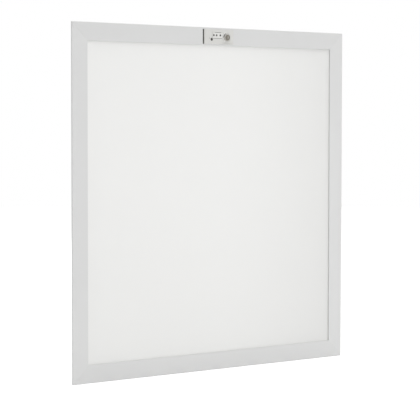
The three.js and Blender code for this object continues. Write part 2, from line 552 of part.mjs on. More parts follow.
function addDriverCase() {
  const low = DRIVER_LOW;
  const high = DRIVER_HIGH;
  const wallTop = LID_Y - GAP;
  const base = block(DRIVER_X0 - FOOT_L, DRIVER_X1 + FOOT_L, BACK_Y, BASE_TOP, low, high);
  const footCut = (x0, x1) => [block(x0, x1, BACK_Y - 1, BASE_TOP + 1, low - 1, low + DRIVER_W / 3),
    block(x0, x1, BACK_Y - 1, BASE_TOP + 1, high - DRIVER_W / 3, high + 1)];
  const lugs = lugPlaces().map((x) => cut(
    block(x, x + HINGE.lug, wallTop - 5, HINGE_Y + HINGE.r, high - CASE_T, HINGE_Z + HINGE.r),
    rodX(HINGE_Y, HINGE_Z, x - 1, x + HINGE.lug + 1, HINGE.pinR + GAP)));
  const walls = [
    block(DRIVER_X0, DRIVER_X0 + CASE_T, BACK_Y, wallTop, low, high),
    block(DRIVER_X0, BAY_X1, BACK_Y, wallTop, low, low + CASE_T),
    block(DRIVER_X0, BAY_X1, BACK_Y, wallTop, high - CASE_T, high)];
  const posts = postPlaces().map(([x, z]) => rodY(x, z, BACK_Y, BASE_TOP + POST_H, POST_R));
  const gland = rodX(CABLE_Y, DRIVER_Z, DRIVER_X0 - 1, DRIVER_X0 + CASE_T + 1, NECK_R + GAP);
  const screwHoles = footPlaces().map((x) => rodY(x, DRIVER_Z, BACK_Y - 1, BASE_TOP + 1, SCREW_HOLE_R));
  add('driver_base', cut(join(base, ...walls, ...posts, ...lugs), gland, ...screwHoles,
    ...footCut(DRIVER_X0 - FOOT_L - 1, DRIVER_X0), ...footCut(DRIVER_X1, DRIVER_X1 + FOOT_L + 1)),
  DRIVER_WHITE);
  const inside = CASE_T;
  const shell = block(BAY_X1 + GAP, DRIVER_X1, BASE_TOP + GAP, DRIVER_BACK, low, high);
  const room = block(BAY_X1 + GAP + inside, DRIVER_X1 - inside, BASE_TOP - 1, DRIVER_BACK - inside,
    low + inside, high - inside);
  const dcHole = rodX(CABLE_Y, DRIVER_Z, DRIVER_X1 - 3, DRIVER_X1 + 1, DC_LEAD_R + GAP);
  const controlHole = rodZ(SENSOR_LEAD_X, CONTROL_Y, high - 3, high + 1, SENSOR_LEAD_R + GAP);
  add('driver_cover', cut(shell, room, dcHole, controlHole), DRIVER_WHITE);
}

const lugPlaces = () => [DRIVER_X0 + HINGE.lugInset, BAY_X1 - HINGE.lugInset - HINGE.lug];
const footPlaces = () => [DRIVER_X0 - FOOT_L / 2, DRIVER_X1 + FOOT_L / 2];
const postPlaces = () => [BAY_X1 + POST_INSET, DRIVER_X1 - POST_INSET].flatMap(
  (x) => [DRIVER_LOW + POST_INSET, DRIVER_HIGH - POST_INSET].map((z) => [x, z]));

function addDriverInsides() {
  const pcbFront = BASE_TOP + POST_H + GAP;
  const pcbBack = pcbFront + PCB_T;
  const edge = CASE_T + 2.5;
  const board = block(BAY_X1 + edge, DRIVER_X1 - edge, pcbFront, pcbBack,
    DRIVER_LOW + edge, DRIVER_HIGH - edge);
  const leadNotch = block(SENSOR_LEAD_X - 4, SENSOR_LEAD_X + 4, pcbFront - 1, pcbBack + 1,
    DRIVER_HIGH - 2 * edge, DRIVER_HIGH);
  add('driver_board', cut(board, leadNotch), BOARD_GREEN);
  const parts = pcbBack + GAP;
  const roof = DRIVER_BACK - CASE_T - 1;
  const { x, half, w, coilHalf, coilW, coilIn } = TRANSFORMER;
  const core = block(x - half, x + half, parts, roof, DRIVER_Z - w / 2, DRIVER_Z + w / 2);
  const coil = block(x - coilHalf, x + coilHalf, parts + coilIn, roof - coilIn,
    DRIVER_Z - coilW / 2, DRIVER_Z + coilW / 2);
  add('driver_transformer', join(core, coil), DARK_PLASTIC);
  add('driver_capacitor', rodX(parts + CAN.r, DRIVER_Z - CAN.down, CAN.x0, CAN.x1, CAN.r), DARK_PLASTIC);
  for (const [i, footX] of footPlaces().entries()) {
    const head = BASE_TOP + GAP;
    const profile = [[0, TRAY_DEPTH + GAP], [SCREW_R, TRAY_DEPTH + GAP], [SCREW_R, head],
      [SCREW_HEAD_R, head], [SCREW_HEAD_R, head + 0.55 * SCREW_HEAD_T],
      [0.6 * SCREW_HEAD_R, head + SCREW_HEAD_T], [0, head + SCREW_HEAD_T]];
    const screw = turned(footX, DRIVER_Z, profile);
    const recess = crossRecess(footX, DRIVER_Z, head + SCREW_HEAD_T);
    add(`driver_screw_${i + 1}`, cut(screw, ...recess), ZINC);
  }
}

/** The mains terminal with a wire hole and a release button for each pole. */
function addTerminal() {
  const x0 = BAY_X1 - TERMINAL.x0;
  const x1 = x0 + TERMINAL.length;
  const low = BASE_TOP + GAP;
  const high = low + TERMINAL.h;
  const half = POLES * POLE_PITCH / 2 + 1;
  const poles = Array.from({ length: POLES }, (_, i) => DRIVER_Z + (i - (POLES - 1) / 2) * POLE_PITCH);
  const wellX = (x0 + x1) / 2;
  const wires = poles.map((z) => rodX(low + 4, z, x0 - 1, x0 + 8, TERMINAL.wireR));
  const wells = poles.map((z) => block(wellX - TERMINAL.wellX / 2, wellX + TERMINAL.wellX / 2,
    high - TERMINAL.wellDepth, high + 1, z - TERMINAL.wellZ / 2, z + TERMINAL.wellZ / 2));
  const body = block(x0, x1, low, high, DRIVER_Z - half, DRIVER_Z + half);
  add('mains_terminal', cut(body, ...wires, ...wells), TERMINAL_GREY);
  const poleNames = ['live', 'neutral', 'earth'];
  poles.forEach((z, i) => {
    const button = block(wellX - TERMINAL.wellX / 2 + GAP, wellX + TERMINAL.wellX / 2 - GAP,
      high - RELEASE.depth, high + RELEASE.proud, z - TERMINAL.wellZ / 2 + GAP, z + TERMINAL.wellZ / 2 - GAP);
    add(`release_button_${poleNames[i]}`, button, RELEASE_ORANGE);
  });
}

/** The bay's swinging lid, its pin, and the gland that the mains cable comes in by. */
function addBay() {
  const [lugA, lugB] = lugPlaces();
  const k0 = lugA + HINGE.lug + GAP;
  const k1 = lugB - GAP;
  const skin = block(DRIVER_X0, BAY_X1 - GAP, LID_Y, DRIVER_BACK, DRIVER_LOW, DRIVER_HIGH - CASE_T - 1);
  const leaf = block(k0, k1, LID_Y, DRIVER_BACK, DRIVER_HIGH - 6, HINGE_Z);
  const barrel = rodX(HINGE_Y, HINGE_Z, k0, k1, HINGE.r);
  const tongue = block(DRIVER_X0 + 22, BAY_X1 - 22, LID_Y - 4, LID_Y + 0.5,
    DRIVER_LOW + CASE_T + 1, DRIVER_LOW + CASE_T + 2.2);
  const bore = rodX(HINGE_Y, HINGE_Z, k0 - 1, k1 + 1, HINGE.pinR + GAP);
  add('terminal_cover', cut(join(skin, leaf, barrel, tongue), bore), DRIVER_WHITE);
  add('hinge_pin', rodX(HINGE_Y, HINGE_Z, lugA - 1, lugB + HINGE.lug + 1, HINGE.pinR), ZINC);
  const wallIn = DRIVER_X0 + CASE_T + GAP;
  const collar = rodX(CABLE_Y, DRIVER_Z, DRIVER_X0 - GAP - GLAND.flange, DRIVER_X0 - GAP, GLAND.r);
  const neck = rodX(CABLE_Y, DRIVER_Z, DRIVER_X0 - GAP - 1, wallIn + 1, NECK_R);
  const nut = rodX(CABLE_Y, DRIVER_Z, wallIn, wallIn + GLAND.nut, GLAND.r);
  const cableBore = rodX(CABLE_Y, DRIVER_Z, DRIVER_X0 - 10, wallIn + GLAND.nut + 1, GLAND.boreR);
  add('cable_gland', cut(join(collar, neck, nut), cableBore), RUBBER);
}

// ---------------------------------------------------------------- leads, clips and safety loops

const curveThrough = (points) => new THREE.CatmullRomCurve3(points.map((p) => new THREE.Vector3(...p)));

function buildLeads() {
  const dcY = BACK_Y + GAP + DC_LEAD_R;
  const sensorY = BACK_Y + GAP + SENSOR_LEAD_R;
  const clipX = DRIVER_X1 + DC_CLIP_OUT;
  const dc = curveThrough([[DRIVER_X1 + GAP, CABLE_Y, DRIVER_Z], [DRIVER_X1 + 12, CABLE_Y - 1, DRIVER_Z],
    [DRIVER_X1 + 28, dcY + 2, DRIVER_Z], [clipX - 8, dcY, DRIVER_Z], [clipX, dcY, DRIVER_Z],
    [clipX + 8, dcY, DRIVER_Z], [clipX + 30, dcY + 2, DRIVER_Z - 4],
    [BUS_X - 14, dcY + 8, DRIVER_Z - 14],
    [BUS_X - 3, dcY + 13, GROMMET_Z + 22], [BUS_X, dcY + 12, GROMMET_Z + 6], [BUS_X, dcY + 6, GROMMET_Z],
    [BUS_X, BAR_BACK + GAP, GROMMET_Z]]);
  add('dc_lead', wire(dc, DC_LEAD_R, 56), LEAD_GREY);
  addLeadClip('dc_lead_clip', clipX, dcY, DRIVER_Z, DC_LEAD_R, 'x');
  const clipZ = TOP - SENSOR_CLIP_INSET;
  const shoulder = TOP - WALL_INSET - WALL_LEAN;
  const route = [[BOX_DEPTH + 1, SENSOR_LEAD_Z], [BOX_DEPTH + 9, SENSOR_LEAD_Z],
    [TRAY_DEPTH + 4, SENSOR_LEAD_Z - 8], [TRAY_DEPTH + 6, shoulder + 10],
    [sensorY + 0.6, clipZ + 14], [sensorY, clipZ + 6], [sensorY, clipZ], [sensorY, clipZ - 6],
    [CONTROL_Y - 0.6, DRIVER_HIGH + 12], [CONTROL_Y, DRIVER_HIGH + GAP]];
  const sensor = curveThrough(route.map(([y, z]) => [SENSOR_LEAD_X, y, z]));
  add('sensor_lead', wire(sensor, SENSOR_LEAD_R, 48), LEAD_GREY);
  addLeadClip('sensor_lead_clip', SENSOR_LEAD_X, sensorY, clipZ, SENSOR_LEAD_R, 'z');
}

/** A stuck-on clip that closes over a lead running along x or z. */
function addLeadClip(name, x, y, z, radius, along) {
  const runsX = along === 'x';
  const halfX = (runsX ? LEAD_CLIP.l : LEAD_CLIP.w) / 2;
  const halfZ = (runsX ? LEAD_CLIP.w : LEAD_CLIP.l) / 2;
  const top = y + radius + GAP + LEAD_CLIP.roof;
  const body = block(x - halfX, x + halfX, BACK_Y, top, z - halfZ, z + halfZ);
  const past = LEAD_CLIP.l;
  const boreR = radius + GAP;
  const bore = runsX ? rodX(y, z, x - past, x + past, boreR) : rodZ(x, y, z - past, z + past, boreR);
  const mouthX = runsX ? past : radius;
  const mouthZ = runsX ? radius : past;
  const mouth = block(x - mouthX, x + mouthX, BACK_Y - 1, y, z - mouthZ, z + mouthZ);
  add(name, cut(body, bore, mouth), DARK_PLASTIC);
}

/** A wire loop whose turned-out ends pivot in a riveted two-ear bracket. */
function addSafetyLoop(name, x, z) {
  const y = BACK_Y + EAR.pivot;
  const base = block(x - EAR.half - EAR.t, x + EAR.half + EAR.t, BACK_Y, BACK_Y + EAR.base,
    z - EAR.w / 2, z + EAR.w / 2);
  const ears = [x - EAR.half - EAR.t, x + EAR.half].map((low) => block(
    low, low + EAR.t, BACK_Y, BACK_Y + EAR.h, z - EAR.w / 2, z + EAR.w / 2));
  const bore = rodX(y, z, x - EAR.half - 5, x + EAR.half + 5, LOOP_WIRE_R + GAP);
  add(`loop_bracket_${name}`, cut(join(base, ...ears), bore), ZINC);
  const pin = EAR.half + EAR.t + EAR.pinOut;
  const at = (px, pz) => new THREE.Vector3(x + px, y, z + pz);
  const path = new THREE.CurvePath();
  const corners = [[-pin, 0], [-LOOP_HALF, 0], [-LOOP_HALF, -LOOP_LEG], [LOOP_HALF, -LOOP_LEG],
    [LOOP_HALF, 0], [pin, 0]];
  const radii = [0, LOOP_FOOT_BEND, LOOP_BEND, LOOP_BEND, LOOP_FOOT_BEND, 0];
  let start = at(...corners[0]);
  for (let i = 1; i < corners.length - 1; i++) {
    const corner = at(...corners[i]);
    const before = at(...corners[i - 1]).sub(corner).normalize().multiplyScalar(radii[i]).add(corner);
    const after = at(...corners[i + 1]).sub(corner).normalize().multiplyScalar(radii[i]).add(corner);
    path.add(new THREE.LineCurve3(start, before));
    path.add(new THREE.QuadraticBezierCurve3(before, corner, after));
    start = after;
  }
  path.add(new THREE.LineCurve3(start, at(...corners.at(-1))));
  add(`safety_loop_${name}`, wire(path, LOOP_WIRE_R, 44), ZINC);
}

buildFrame();
buildCorners();
buildOptics();
buildTray();
buildBars();
addFascia();
addStrip();
addSensorBox();
addSensorInsides();
addSpringClips();
addDriverCase();
addDriverInsides();
addTerminal();
addBay();
buildLeads();
addSafetyLoop('upper', LOOP_INSET_X - RIGHT, TOP - LOOP_INSET_Z);
addSafetyLoop('lower', RIGHT - LOOP_INSET_X, LOOP_INSET_Z - TOP);

export default panel;
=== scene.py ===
"""The finished look of a square ceiling light panel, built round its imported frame.

The frame gives every place. Pieces are surfaces worked out with numpy, in metres, with the
light face looking along -Y and +Z up. Each one takes the place of its plain solid and rides
on the same body.
"""
import json
import logging
import math
from collections.abc import Sequence
from dataclasses import dataclass
from enum import Enum
from typing import Any

import bmesh
import bpy
import numpy as np
from mathutils import Matrix, Vector

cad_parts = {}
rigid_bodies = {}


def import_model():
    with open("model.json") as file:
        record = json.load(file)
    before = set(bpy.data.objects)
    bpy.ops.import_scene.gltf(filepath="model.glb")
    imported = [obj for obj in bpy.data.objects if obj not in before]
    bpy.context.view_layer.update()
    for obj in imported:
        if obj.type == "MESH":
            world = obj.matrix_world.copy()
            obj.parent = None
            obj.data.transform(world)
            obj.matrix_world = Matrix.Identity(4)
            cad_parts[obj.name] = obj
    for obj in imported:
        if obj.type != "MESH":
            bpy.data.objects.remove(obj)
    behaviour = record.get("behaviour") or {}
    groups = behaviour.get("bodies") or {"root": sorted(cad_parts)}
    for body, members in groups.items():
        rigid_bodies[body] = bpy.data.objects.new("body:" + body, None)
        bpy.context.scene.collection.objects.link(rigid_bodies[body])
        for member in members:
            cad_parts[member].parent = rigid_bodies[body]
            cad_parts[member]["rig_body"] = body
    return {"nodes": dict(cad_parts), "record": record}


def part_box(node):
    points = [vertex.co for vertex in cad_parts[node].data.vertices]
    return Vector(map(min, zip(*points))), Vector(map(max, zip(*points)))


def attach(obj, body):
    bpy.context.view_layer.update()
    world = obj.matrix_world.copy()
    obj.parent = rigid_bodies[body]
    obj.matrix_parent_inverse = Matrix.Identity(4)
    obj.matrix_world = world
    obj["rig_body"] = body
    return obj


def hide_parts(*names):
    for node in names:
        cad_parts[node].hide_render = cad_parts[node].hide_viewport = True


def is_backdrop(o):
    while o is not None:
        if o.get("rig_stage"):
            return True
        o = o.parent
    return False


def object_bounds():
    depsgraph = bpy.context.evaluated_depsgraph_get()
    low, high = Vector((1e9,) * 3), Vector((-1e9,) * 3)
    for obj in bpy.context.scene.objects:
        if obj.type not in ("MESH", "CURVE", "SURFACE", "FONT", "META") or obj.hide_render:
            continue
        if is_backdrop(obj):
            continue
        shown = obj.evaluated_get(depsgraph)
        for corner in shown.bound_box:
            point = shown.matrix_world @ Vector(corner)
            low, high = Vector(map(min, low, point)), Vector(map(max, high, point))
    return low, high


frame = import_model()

MM = 0.001
log = logging.getLogger("panel")
Colour = tuple[float, float, float]


class Axis(Enum):
    """The frame axis that a piece is built along."""

    X = 0
    Y = 1
    Z = 2

    @property
    def across(self) -> tuple[int, int]:
        """The two other axes, in order."""
        first, second = [i for i in range(3) if i != self.value]
        return first, second


# ---------------------------------------------------------------- surfaces


@dataclass
class Surface:
    """Points and the faces between them.

    Attributes:
        points: One row of x, y and z for each point.
        faces: Arrays of point numbers, one row for each face.
    """

    points: np.ndarray
    faces: list[np.ndarray]

    def __add__(self, other: "Surface") -> "Surface":
        """Both surfaces as one."""
        moved = [face + len(self.points) for face in other.faces]
        return Surface(np.vstack([self.points, other.points]), self.faces + moved)


def unit(vectors: np.ndarray) -> np.ndarray:
    """The vectors at length one."""
    return vectors / np.maximum(np.linalg.norm(vectors, axis=-1, keepdims=True), 1e-12)


def soften(corners: Any, radius: Any, steps: int = 4, closed: bool = True) -> np.ndarray:
    """Rounds the corners of a chain of straight lines, in a plane or in space.

    A corner c between the directions b and a becomes c + r b (1 - sin t) + r a (1 - cos t),
    with t from nought to a quarter turn, which is an arc where the lines meet squarely.

    Args:
        corners: The corners, one row each.
        radius: One radius, or one for each corner.
        steps: How many lines each rounding has.
        closed: Whether the last corner joins the first.

    Returns:
        The points of the rounded chain, with no two alike in a row.
    """
    chain = np.asarray(corners, float)
    reach = np.broadcast_to(np.asarray(radius, float), len(chain)).copy()
    before = np.roll(chain, 1, axis=0) - chain
    after = np.roll(chain, -1, axis=0) - chain
    if not closed:
        reach[[0, -1]] = 0.0
        before[0], after[-1] = after[0], before[-1]
    room = np.minimum(np.linalg.norm(before, axis=1), np.linalg.norm(after, axis=1))
    reach = np.minimum(reach, 0.49 * room)[:, None, None]
    turn = np.linspace(0.0, math.pi / 2, steps + 1)[None, :, None]
    rounded = chain[:, None] + reach * (
        unit(before)[:, None] * (1 - np.sin(turn)) + unit(after)[:, None] * (1 - np.cos(turn))
    )
    flat = rounded.reshape(-1, chain.shape[1])
    fresh = np.linalg.norm(flat - np.roll(flat, 1, axis=0), axis=1) > 1e-8
    fresh[0] = True
    return flat[fresh]


def outline(half: Any, corner: float, inset: np.ndarray, steps: int = 6) -> np.ndarray:
    """Rounded rectangles one inside the other.

    Each is the four corner arcs in turn: the arc's middle is the half size less the inset
    and the radius, and the radius shrinks with the inset.

    Args:
        half: Half the width and half the height.
        corner: The corner radius where the inset is nought.
        inset: How far in each rectangle lies.
        steps: How many lines each corner has.

    Returns:
        An array of rectangle, point and the two places.
    """
    inset = np.asarray(inset, float)
    radius = np.maximum(corner - inset, 0.02 * MM)
    start = np.repeat(np.arange(4) * math.pi / 2, steps + 1)
    angle = start + np.tile(np.linspace(0.0, math.pi / 2, steps + 1), 4)
    signs = np.stack([np.sign(np.cos(start + math.pi / 4)), np.sign(np.sin(start + math.pi / 4))], -1)
    middle = np.asarray(half, float)[None] - (inset + radius)[:, None]
    around = np.stack([np.cos(angle), np.sin(angle)], -1)
    return signs[None] * middle[:, None] + radius[:, None, None] * around[None]


def placed(flat: np.ndarray, along: np.ndarray, axis: Axis) -> np.ndarray:
    """Puts places across an axis, and the place along it, into x, y and z.

    Args:
        flat: The two places across the axis.
        along: The place along it.
        axis: The axis.

    Returns:
        Points with three places each.
    """
    first, second = axis.across
    along = np.broadcast_to(along, flat.shape[:-1])
    points = np.empty(flat.shape[:-1] + (3,))
    points[..., first], points[..., second] = flat[..., 0], flat[..., 1]
    points[..., axis.value] = along
    return points


def loft(rings: np.ndarray, tube: bool = False) -> Surface:
    """A skin over rings of points, closed at its two ends or joined end to end.

    Args:
        rings: An array of ring, point and place.
        tube: Whether the last ring joins the first, instead of two end faces.

    Returns:
        The closed skin.
    """
    rows, count = rings.shape[:2]
    number = np.arange(rows * count).reshape(rows, count)
    upper = np.roll(number, -1, axis=0) if tube else number[1:]
    lower = number if tube else number[:-1]
    quads = np.stack([lower, np.roll(lower, -1, 1), np.roll(upper, -1, 1), upper], -1).reshape(-1, 4)
    ends = [] if tube else [number[:1, ::-1], number[-1:]]
    return Surface(rings.reshape(-1, 3), [quads, *ends])


def slab(low: Any, high: Any, axis: Axis, corner: float, edge: float, steps: int = 6) -> Surface:
    """A block with round corners about one axis and rounded edges at both ends.

    Its rings are rounded rectangles whose inset runs from the edge radius to nought and back.

    Args:
        low: Its lowest corner.
        high: Its highest corner.
        axis: The axis that the corners turn about.
        corner: The corner radius.
        edge: The edge radius.
        steps: How many lines each corner has.

    Returns:
        The closed block.
    """
    low, high = np.asarray(low, float), np.asarray(high, float)
    first, second = axis.across
    start, stop = low[axis.value], high[axis.value]
    profile = soften([(edge, start), (0, start), (0, stop), (edge, stop)], edge, 4, closed=False)
    half = (high - low)[[first, second]] / 2
    middle = (high + low)[[first, second]] / 2
    rings = outline(half, max(corner, edge), profile[:, 0], steps) + middle
    return loft(placed(rings, profile[:, 1][:, None], axis))


def shell(low: Any, high: Any, profile: np.ndarray, corner: float, steps: int = 6) -> Surface:
    """A thin-walled tray or lid about Y: a section of inset and depth carried round a rectangle.

    Args:
        low: The lowest corner of the outside.
        high: The highest corner of the outside.
        profile: Inset and depth from the middle of one skin to the middle of the other.
        corner: The corner radius of the outside.
        steps: How many lines each corner has.

    Returns:
        The closed shell.
    """
    low, high = np.asarray(low, float), np.asarray(high, float)
    rings = outline((high - low)[[0, 2]] / 2, corner, profile[:, 0], steps) + (high + low)[[0, 2]] / 2
    return loft(placed(rings, profile[:, 1][:, None], Axis.Y))


def turned(
    profile: Any, centre: Any, axis: Axis, sides: int = 48, tube: bool = False,
    flutes: int = 0, flute_depth: float = 0.0, flute_from: float = 0.0,
) -> Surface:
    """A piece turned about a line: a section of radius and place along, carried round.

    With flutes, the radius falls by half the depth times one less the cosine of the flute count
    times the angle, where the radius is more than the given one.

    Args:
        profile: Radius and place along the axis.
        centre: The two places across the axis.
        axis: The axis.
        sides: How many sides it has.
        tube: Whether the section closes on itself.
        flutes: How many flutes it has.
        flute_depth: How deep they are.
        flute_from: The radius that they start at.

    Returns:
        The closed piece.
    """
    section = np.asarray(profile, float)
    angle = np.linspace(0.0, 2 * math.pi, sides, endpoint=False)
    radius = np.repeat(section[:, :1], sides, axis=1)
    wave = flute_depth / 2 * (1 - np.cos(flutes * angle))[None]
    radius = np.where(radius > flute_from, radius - wave, radius)
    flat = np.stack([radius * np.cos(angle), radius * np.sin(angle)], -1) + np.asarray(centre, float)
    return loft(placed(flat, section[:, 1][:, None], axis), tube)


def swept(path: np.ndarray, section: np.ndarray, reference: Any, scale: Any = 1.0) -> Surface:
    """A section carried along a path, square to it.

    The section's first direction is the path's direction crossed with the reference, and its
    second is that crossed with the path's direction.

    Args:
        path: Points along the middle.
        section: Closed outline across the path.
        reference: A direction that the path never takes.
        scale: One size, or one for each point of the path.

    Returns:
        The closed sweep.
    """
    path = np.asarray(path, float)
    tangent = unit(np.gradient(path, axis=0))
    side = unit(np.cross(tangent, np.asarray(reference, float)[None]))
    other = np.cross(side, tangent)
    size = np.broadcast_to(np.asarray(scale, float), len(path))[:, None, None]
    spread = section[None, :, :1] * side[:, None] + section[None, :, 1:] * other[:, None]
    return loft(path[:, None] + size * spread)


def circle(radius: float, sides: int = 20) -> np.ndarray:
    """A round section."""
    angle = np.linspace(0.0, 2 * math.pi, sides, endpoint=False)
    return radius * np.stack([np.cos(angle), np.sin(angle)], -1)


def smooth_route(points: Any, per_span: int = 8) -> np.ndarray:
    """A curve through every point, whose speed in each span follows the square root of its length.

    Each span is a cubic from one point to the next. Its end slopes are weighed from the lengths
    of the three spans round it, so the curve neither loops nor overshoots.

    Args:
        points: The points that it passes.
        per_span: How many lines each span has.

    Returns:
        Points along the curve.
    """
    given = np.asarray(points, float)
    full = np.vstack([2 * given[0] - given[1], given, 2 * given[-1] - given[-2]])
    p0, p1, p2, p3 = full[:-3], full[1:-2], full[2:-1], full[3:]
    d0, d1, d2 = (np.sqrt(np.linalg.norm(b - a, axis=1))[:, None] for a, b in ((p0, p1), (p1, p2), (p2, p3)))
    start = ((p1 - p0) / d0 - (p2 - p0) / (d0 + d1) + (p2 - p1) / d1) * d1
    stop = ((p2 - p1) / d1 - (p3 - p1) / (d1 + d2) + (p3 - p2) / d2) * d1
    t = np.linspace(0.0, 1.0, per_span, endpoint=False)[None, :, None]
    a, b, m, n = p1[:, None], p2[:, None], start[:, None], stop[:, None]
    curve = a + m * t + (3 * (b - a) - 2 * m - n) * t**2 + (2 * (a - b) + m + n) * t**3
    return np.vstack([curve.reshape(-1, 3), given[-1:]])


def as_mesh(name: str, surface: Surface) -> bpy.types.Mesh:
    """Puts a surface into a mesh, with doubles merged, faces outwards and shaded smooth.

    Args:
        name: The mesh's name.
        surface: The surface.

    Returns:
        The mesh.
    """
    mesh = bpy.data.meshes.new(name)
    faces = [row for block in surface.faces for row in block.tolist()]
    mesh.from_pydata(surface.points.tolist(), [], faces)
    work = bmesh.new()
    work.from_mesh(mesh)
    bmesh.ops.remove_doubles(work, verts=work.verts, dist=0.002 * MM)
    bmesh.ops.recalc_face_normals(work, faces=work.faces)
    work.to_mesh(mesh)
    work.free()
    mesh.polygons.foreach_set("use_smooth", np.ones(len(mesh.polygons), bool))
    return mesh


class Step(Enum):
    """What a round of tools does to a piece."""

    CUT = "DIFFERENCE"
    JOIN = "UNION"


def carved(name: str, base: Surface, *rounds: tuple[Step, Sequence[Surface]]) -> bpy.types.Mesh:
    """A surface that others are joined to or cut away from, one round after another.

    Args:
        name: The mesh's name.
        base: What it starts from.
        rounds: What each round does, and the surfaces that do it.

    Returns:
        The finished mesh.
    """
    scene = bpy.context.scene.collection
    body = bpy.data.objects.new(name, as_mesh(name, base))
    scene.objects.link(body)
    tools = []
    for way, part in ((way, part) for way, parts in rounds for part in parts):
        tool = bpy.data.objects.new(f"tool_{len(tools)}", as_mesh("tool", part))
        scene.objects.link(tool)
        tools.append(tool)
        step = body.modifiers.new(tool.name, "BOOLEAN")
        step.operation, step.solver, step.object = way.value, "MANIFOLD", tool
    made = bpy.data.meshes.new_from_object(body.evaluated_get(bpy.context.evaluated_depsgraph_get()))
    made.name = name
    for spare in [body, *tools]:
        bpy.data.objects.remove(spare)
    work = bmesh.new()
    work.from_mesh(made)
    bmesh.ops.remove_doubles(work, verts=work.verts, dist=0.004 * MM)
    bmesh.ops.dissolve_degenerate(work, edges=work.edges, dist=0.002 * MM)
    work.to_mesh(made)
    work.free()
    made.polygons.foreach_set("use_smooth", np.ones(len(made.polygons), bool))
    return made


# ---------------------------------------------------------------- finishes


class Nodes:
    """Builds one material's nodes."""

    def __init__(self, name: str) -> None:
        """Starts a material that has a shader and its output.

        Args:
            name: The material's name.
        """
        self.material = bpy.data.materials.new(name)
        self.material.use_nodes = True
        self.tree = self.material.node_tree
        self.tree.nodes.clear()
        self.shader = self.tree.nodes.new("ShaderNodeBsdfPrincipled")
        output = self.tree.nodes.new("ShaderNodeOutputMaterial")
        self.tree.links.new(self.shader.outputs[0], output.inputs["Surface"])
        self.place = self.tree.nodes.new("ShaderNodeTexCoord").outputs["Object"]

    def set(self, **values: Any) -> None:
        """Sets the shader's own values; an underscore in a name stands for a space."""
        for key, value in values.items():
            self.shader.inputs[key.replace("_", " ")].default_value = value

    def link(self, source: Any, socket: str) -> None:
        """Joins an output to one of the shader's sockets."""
        self.tree.links.new(source, self.shader.inputs[socket])

    def stretched(self, scale: Sequence[float], offset: Sequence[float] = (0, 0, 0)) -> Any:
        """The place, scaled along each axis after the offset is taken off.

        Args:
            scale: One factor for each axis.
            offset: The place that becomes the middle.

        Returns:
            The vector output.
        """
        node = self.tree.nodes.new("ShaderNodeMapping")
        node.vector_type = "POINT"
        node.inputs["Location"].default_value = [-o * s for o, s in zip(offset, scale)]
        node.inputs["Scale"].default_value = list(scale)
        self.tree.links.new(self.place, node.inputs["Vector"])
        return node.outputs[0]

    def noise(self, size: float, detail: float = 2.0, vector: Any = None) -> Any:
        """Soft noise whose patches are about a size across.

        Args:
            size: How far across one patch is.
            detail: How many finer layers it has.
            vector: The place it reads, or the object's own.

        Returns:
            The factor output.
        """
        node = self.tree.nodes.new("ShaderNodeTexNoise")
        node.inputs["Scale"].default_value = 1.0 / size
        node.inputs["Detail"].default_value = detail
        self.tree.links.new(vector or self.place, node.inputs["Vector"])
        return node.outputs[0]

    def cells(self, size: float) -> Any:
        """Distance to the nearest of many scattered points, for pitted and cellular surfaces."""
        node = self.tree.nodes.new("ShaderNodeTexVoronoi")
        node.inputs["Scale"].default_value = 1.0 / size
        self.tree.links.new(self.place, node.inputs["Vector"])
        return node.outputs["Distance"]

    def range(self, source: Any, low: float, high: float, out_low: float, out_high: float) -> Any:
        """Takes a value from one range to another, with its ends held.

        Args:
            source: The value.
            low: Where the first range starts.
            high: Where it ends.
            out_low: Where the second starts.
            out_high: Where it ends.

        Returns:
            The new value.
        """
        node = self.tree.nodes.new("ShaderNodeMapRange")
        for socket, value in zip(node.inputs[1:5], (low, high, out_low, out_high)):
            socket.default_value = value
        self.tree.links.new(source, node.inputs[0])
        return node.outputs[0]

    def math(self, way: str, first: Any, second: Any = None) -> Any:
        """A sum or function of one or two values.

        Args:
            way: Blender's name of the function.
            first: An output or a number.
            second: An output or a number.

        Returns:
            The result.
        """
        node = self.tree.nodes.new("ShaderNodeMath")
        node.operation = way
        for socket, value in zip(node.inputs, (first, second)):
            if isinstance(value, (int, float)):
                socket.default_value = value
            elif value is not None:
                self.tree.links.new(value, socket)
        return node.outputs[0]

    def mix(self, factor: Any, first: Any, second: Any) -> Any:
        """A colour between two, by a factor.

        Args:
            factor: Nought for the first and one for the second.
            first: A colour or an output.
            second: A colour or an output.

        Returns:
            The colour output.
        """
        node = self.tree.nodes.new("ShaderNodeMix")
        node.data_type = "RGBA"
        self.tree.links.new(factor, node.inputs[0])
        for socket, value in ((node.inputs[6], first), (node.inputs[7], second)):
            if isinstance(value, tuple):
                socket.default_value = (*value, 1.0)
            else:
                self.tree.links.new(value, socket)
        return node.outputs[2]

    def axis(self, which: int) -> Any:
        """One of the object's places: 0 for x, 1 for y and 2 for z."""
        node = self.tree.nodes.new("ShaderNodeSeparateXYZ")
        self.tree.links.new(self.place, node.inputs[0])
        return node.outputs[which]

    def bump(self, height: Any, depth: float, under: Any = None) -> Any:
        """Raises the surface by a height times a depth.

        Args:
            height: The height, from nought to one.
            depth: How many metres one is.
            under: A bump that this one is added to.

        Returns:
            The normal output.
        """
        node = self.tree.nodes.new("ShaderNodeBump")
        node.inputs["Strength"].default_value = 1.0
        node.inputs["Distance"].default_value = depth
        self.tree.links.new(height, node.inputs["Height"])
        if under is not None:
            self.tree.links.new(under, node.inputs["Normal"])
        return node.outputs[0]


def shade(colour: Colour, factor: float) -> Colour:
    """A colour made lighter or darker, up to white."""
    red, green, blue = (min(part * factor, 1.0) for part in colour)
    return red, green, blue


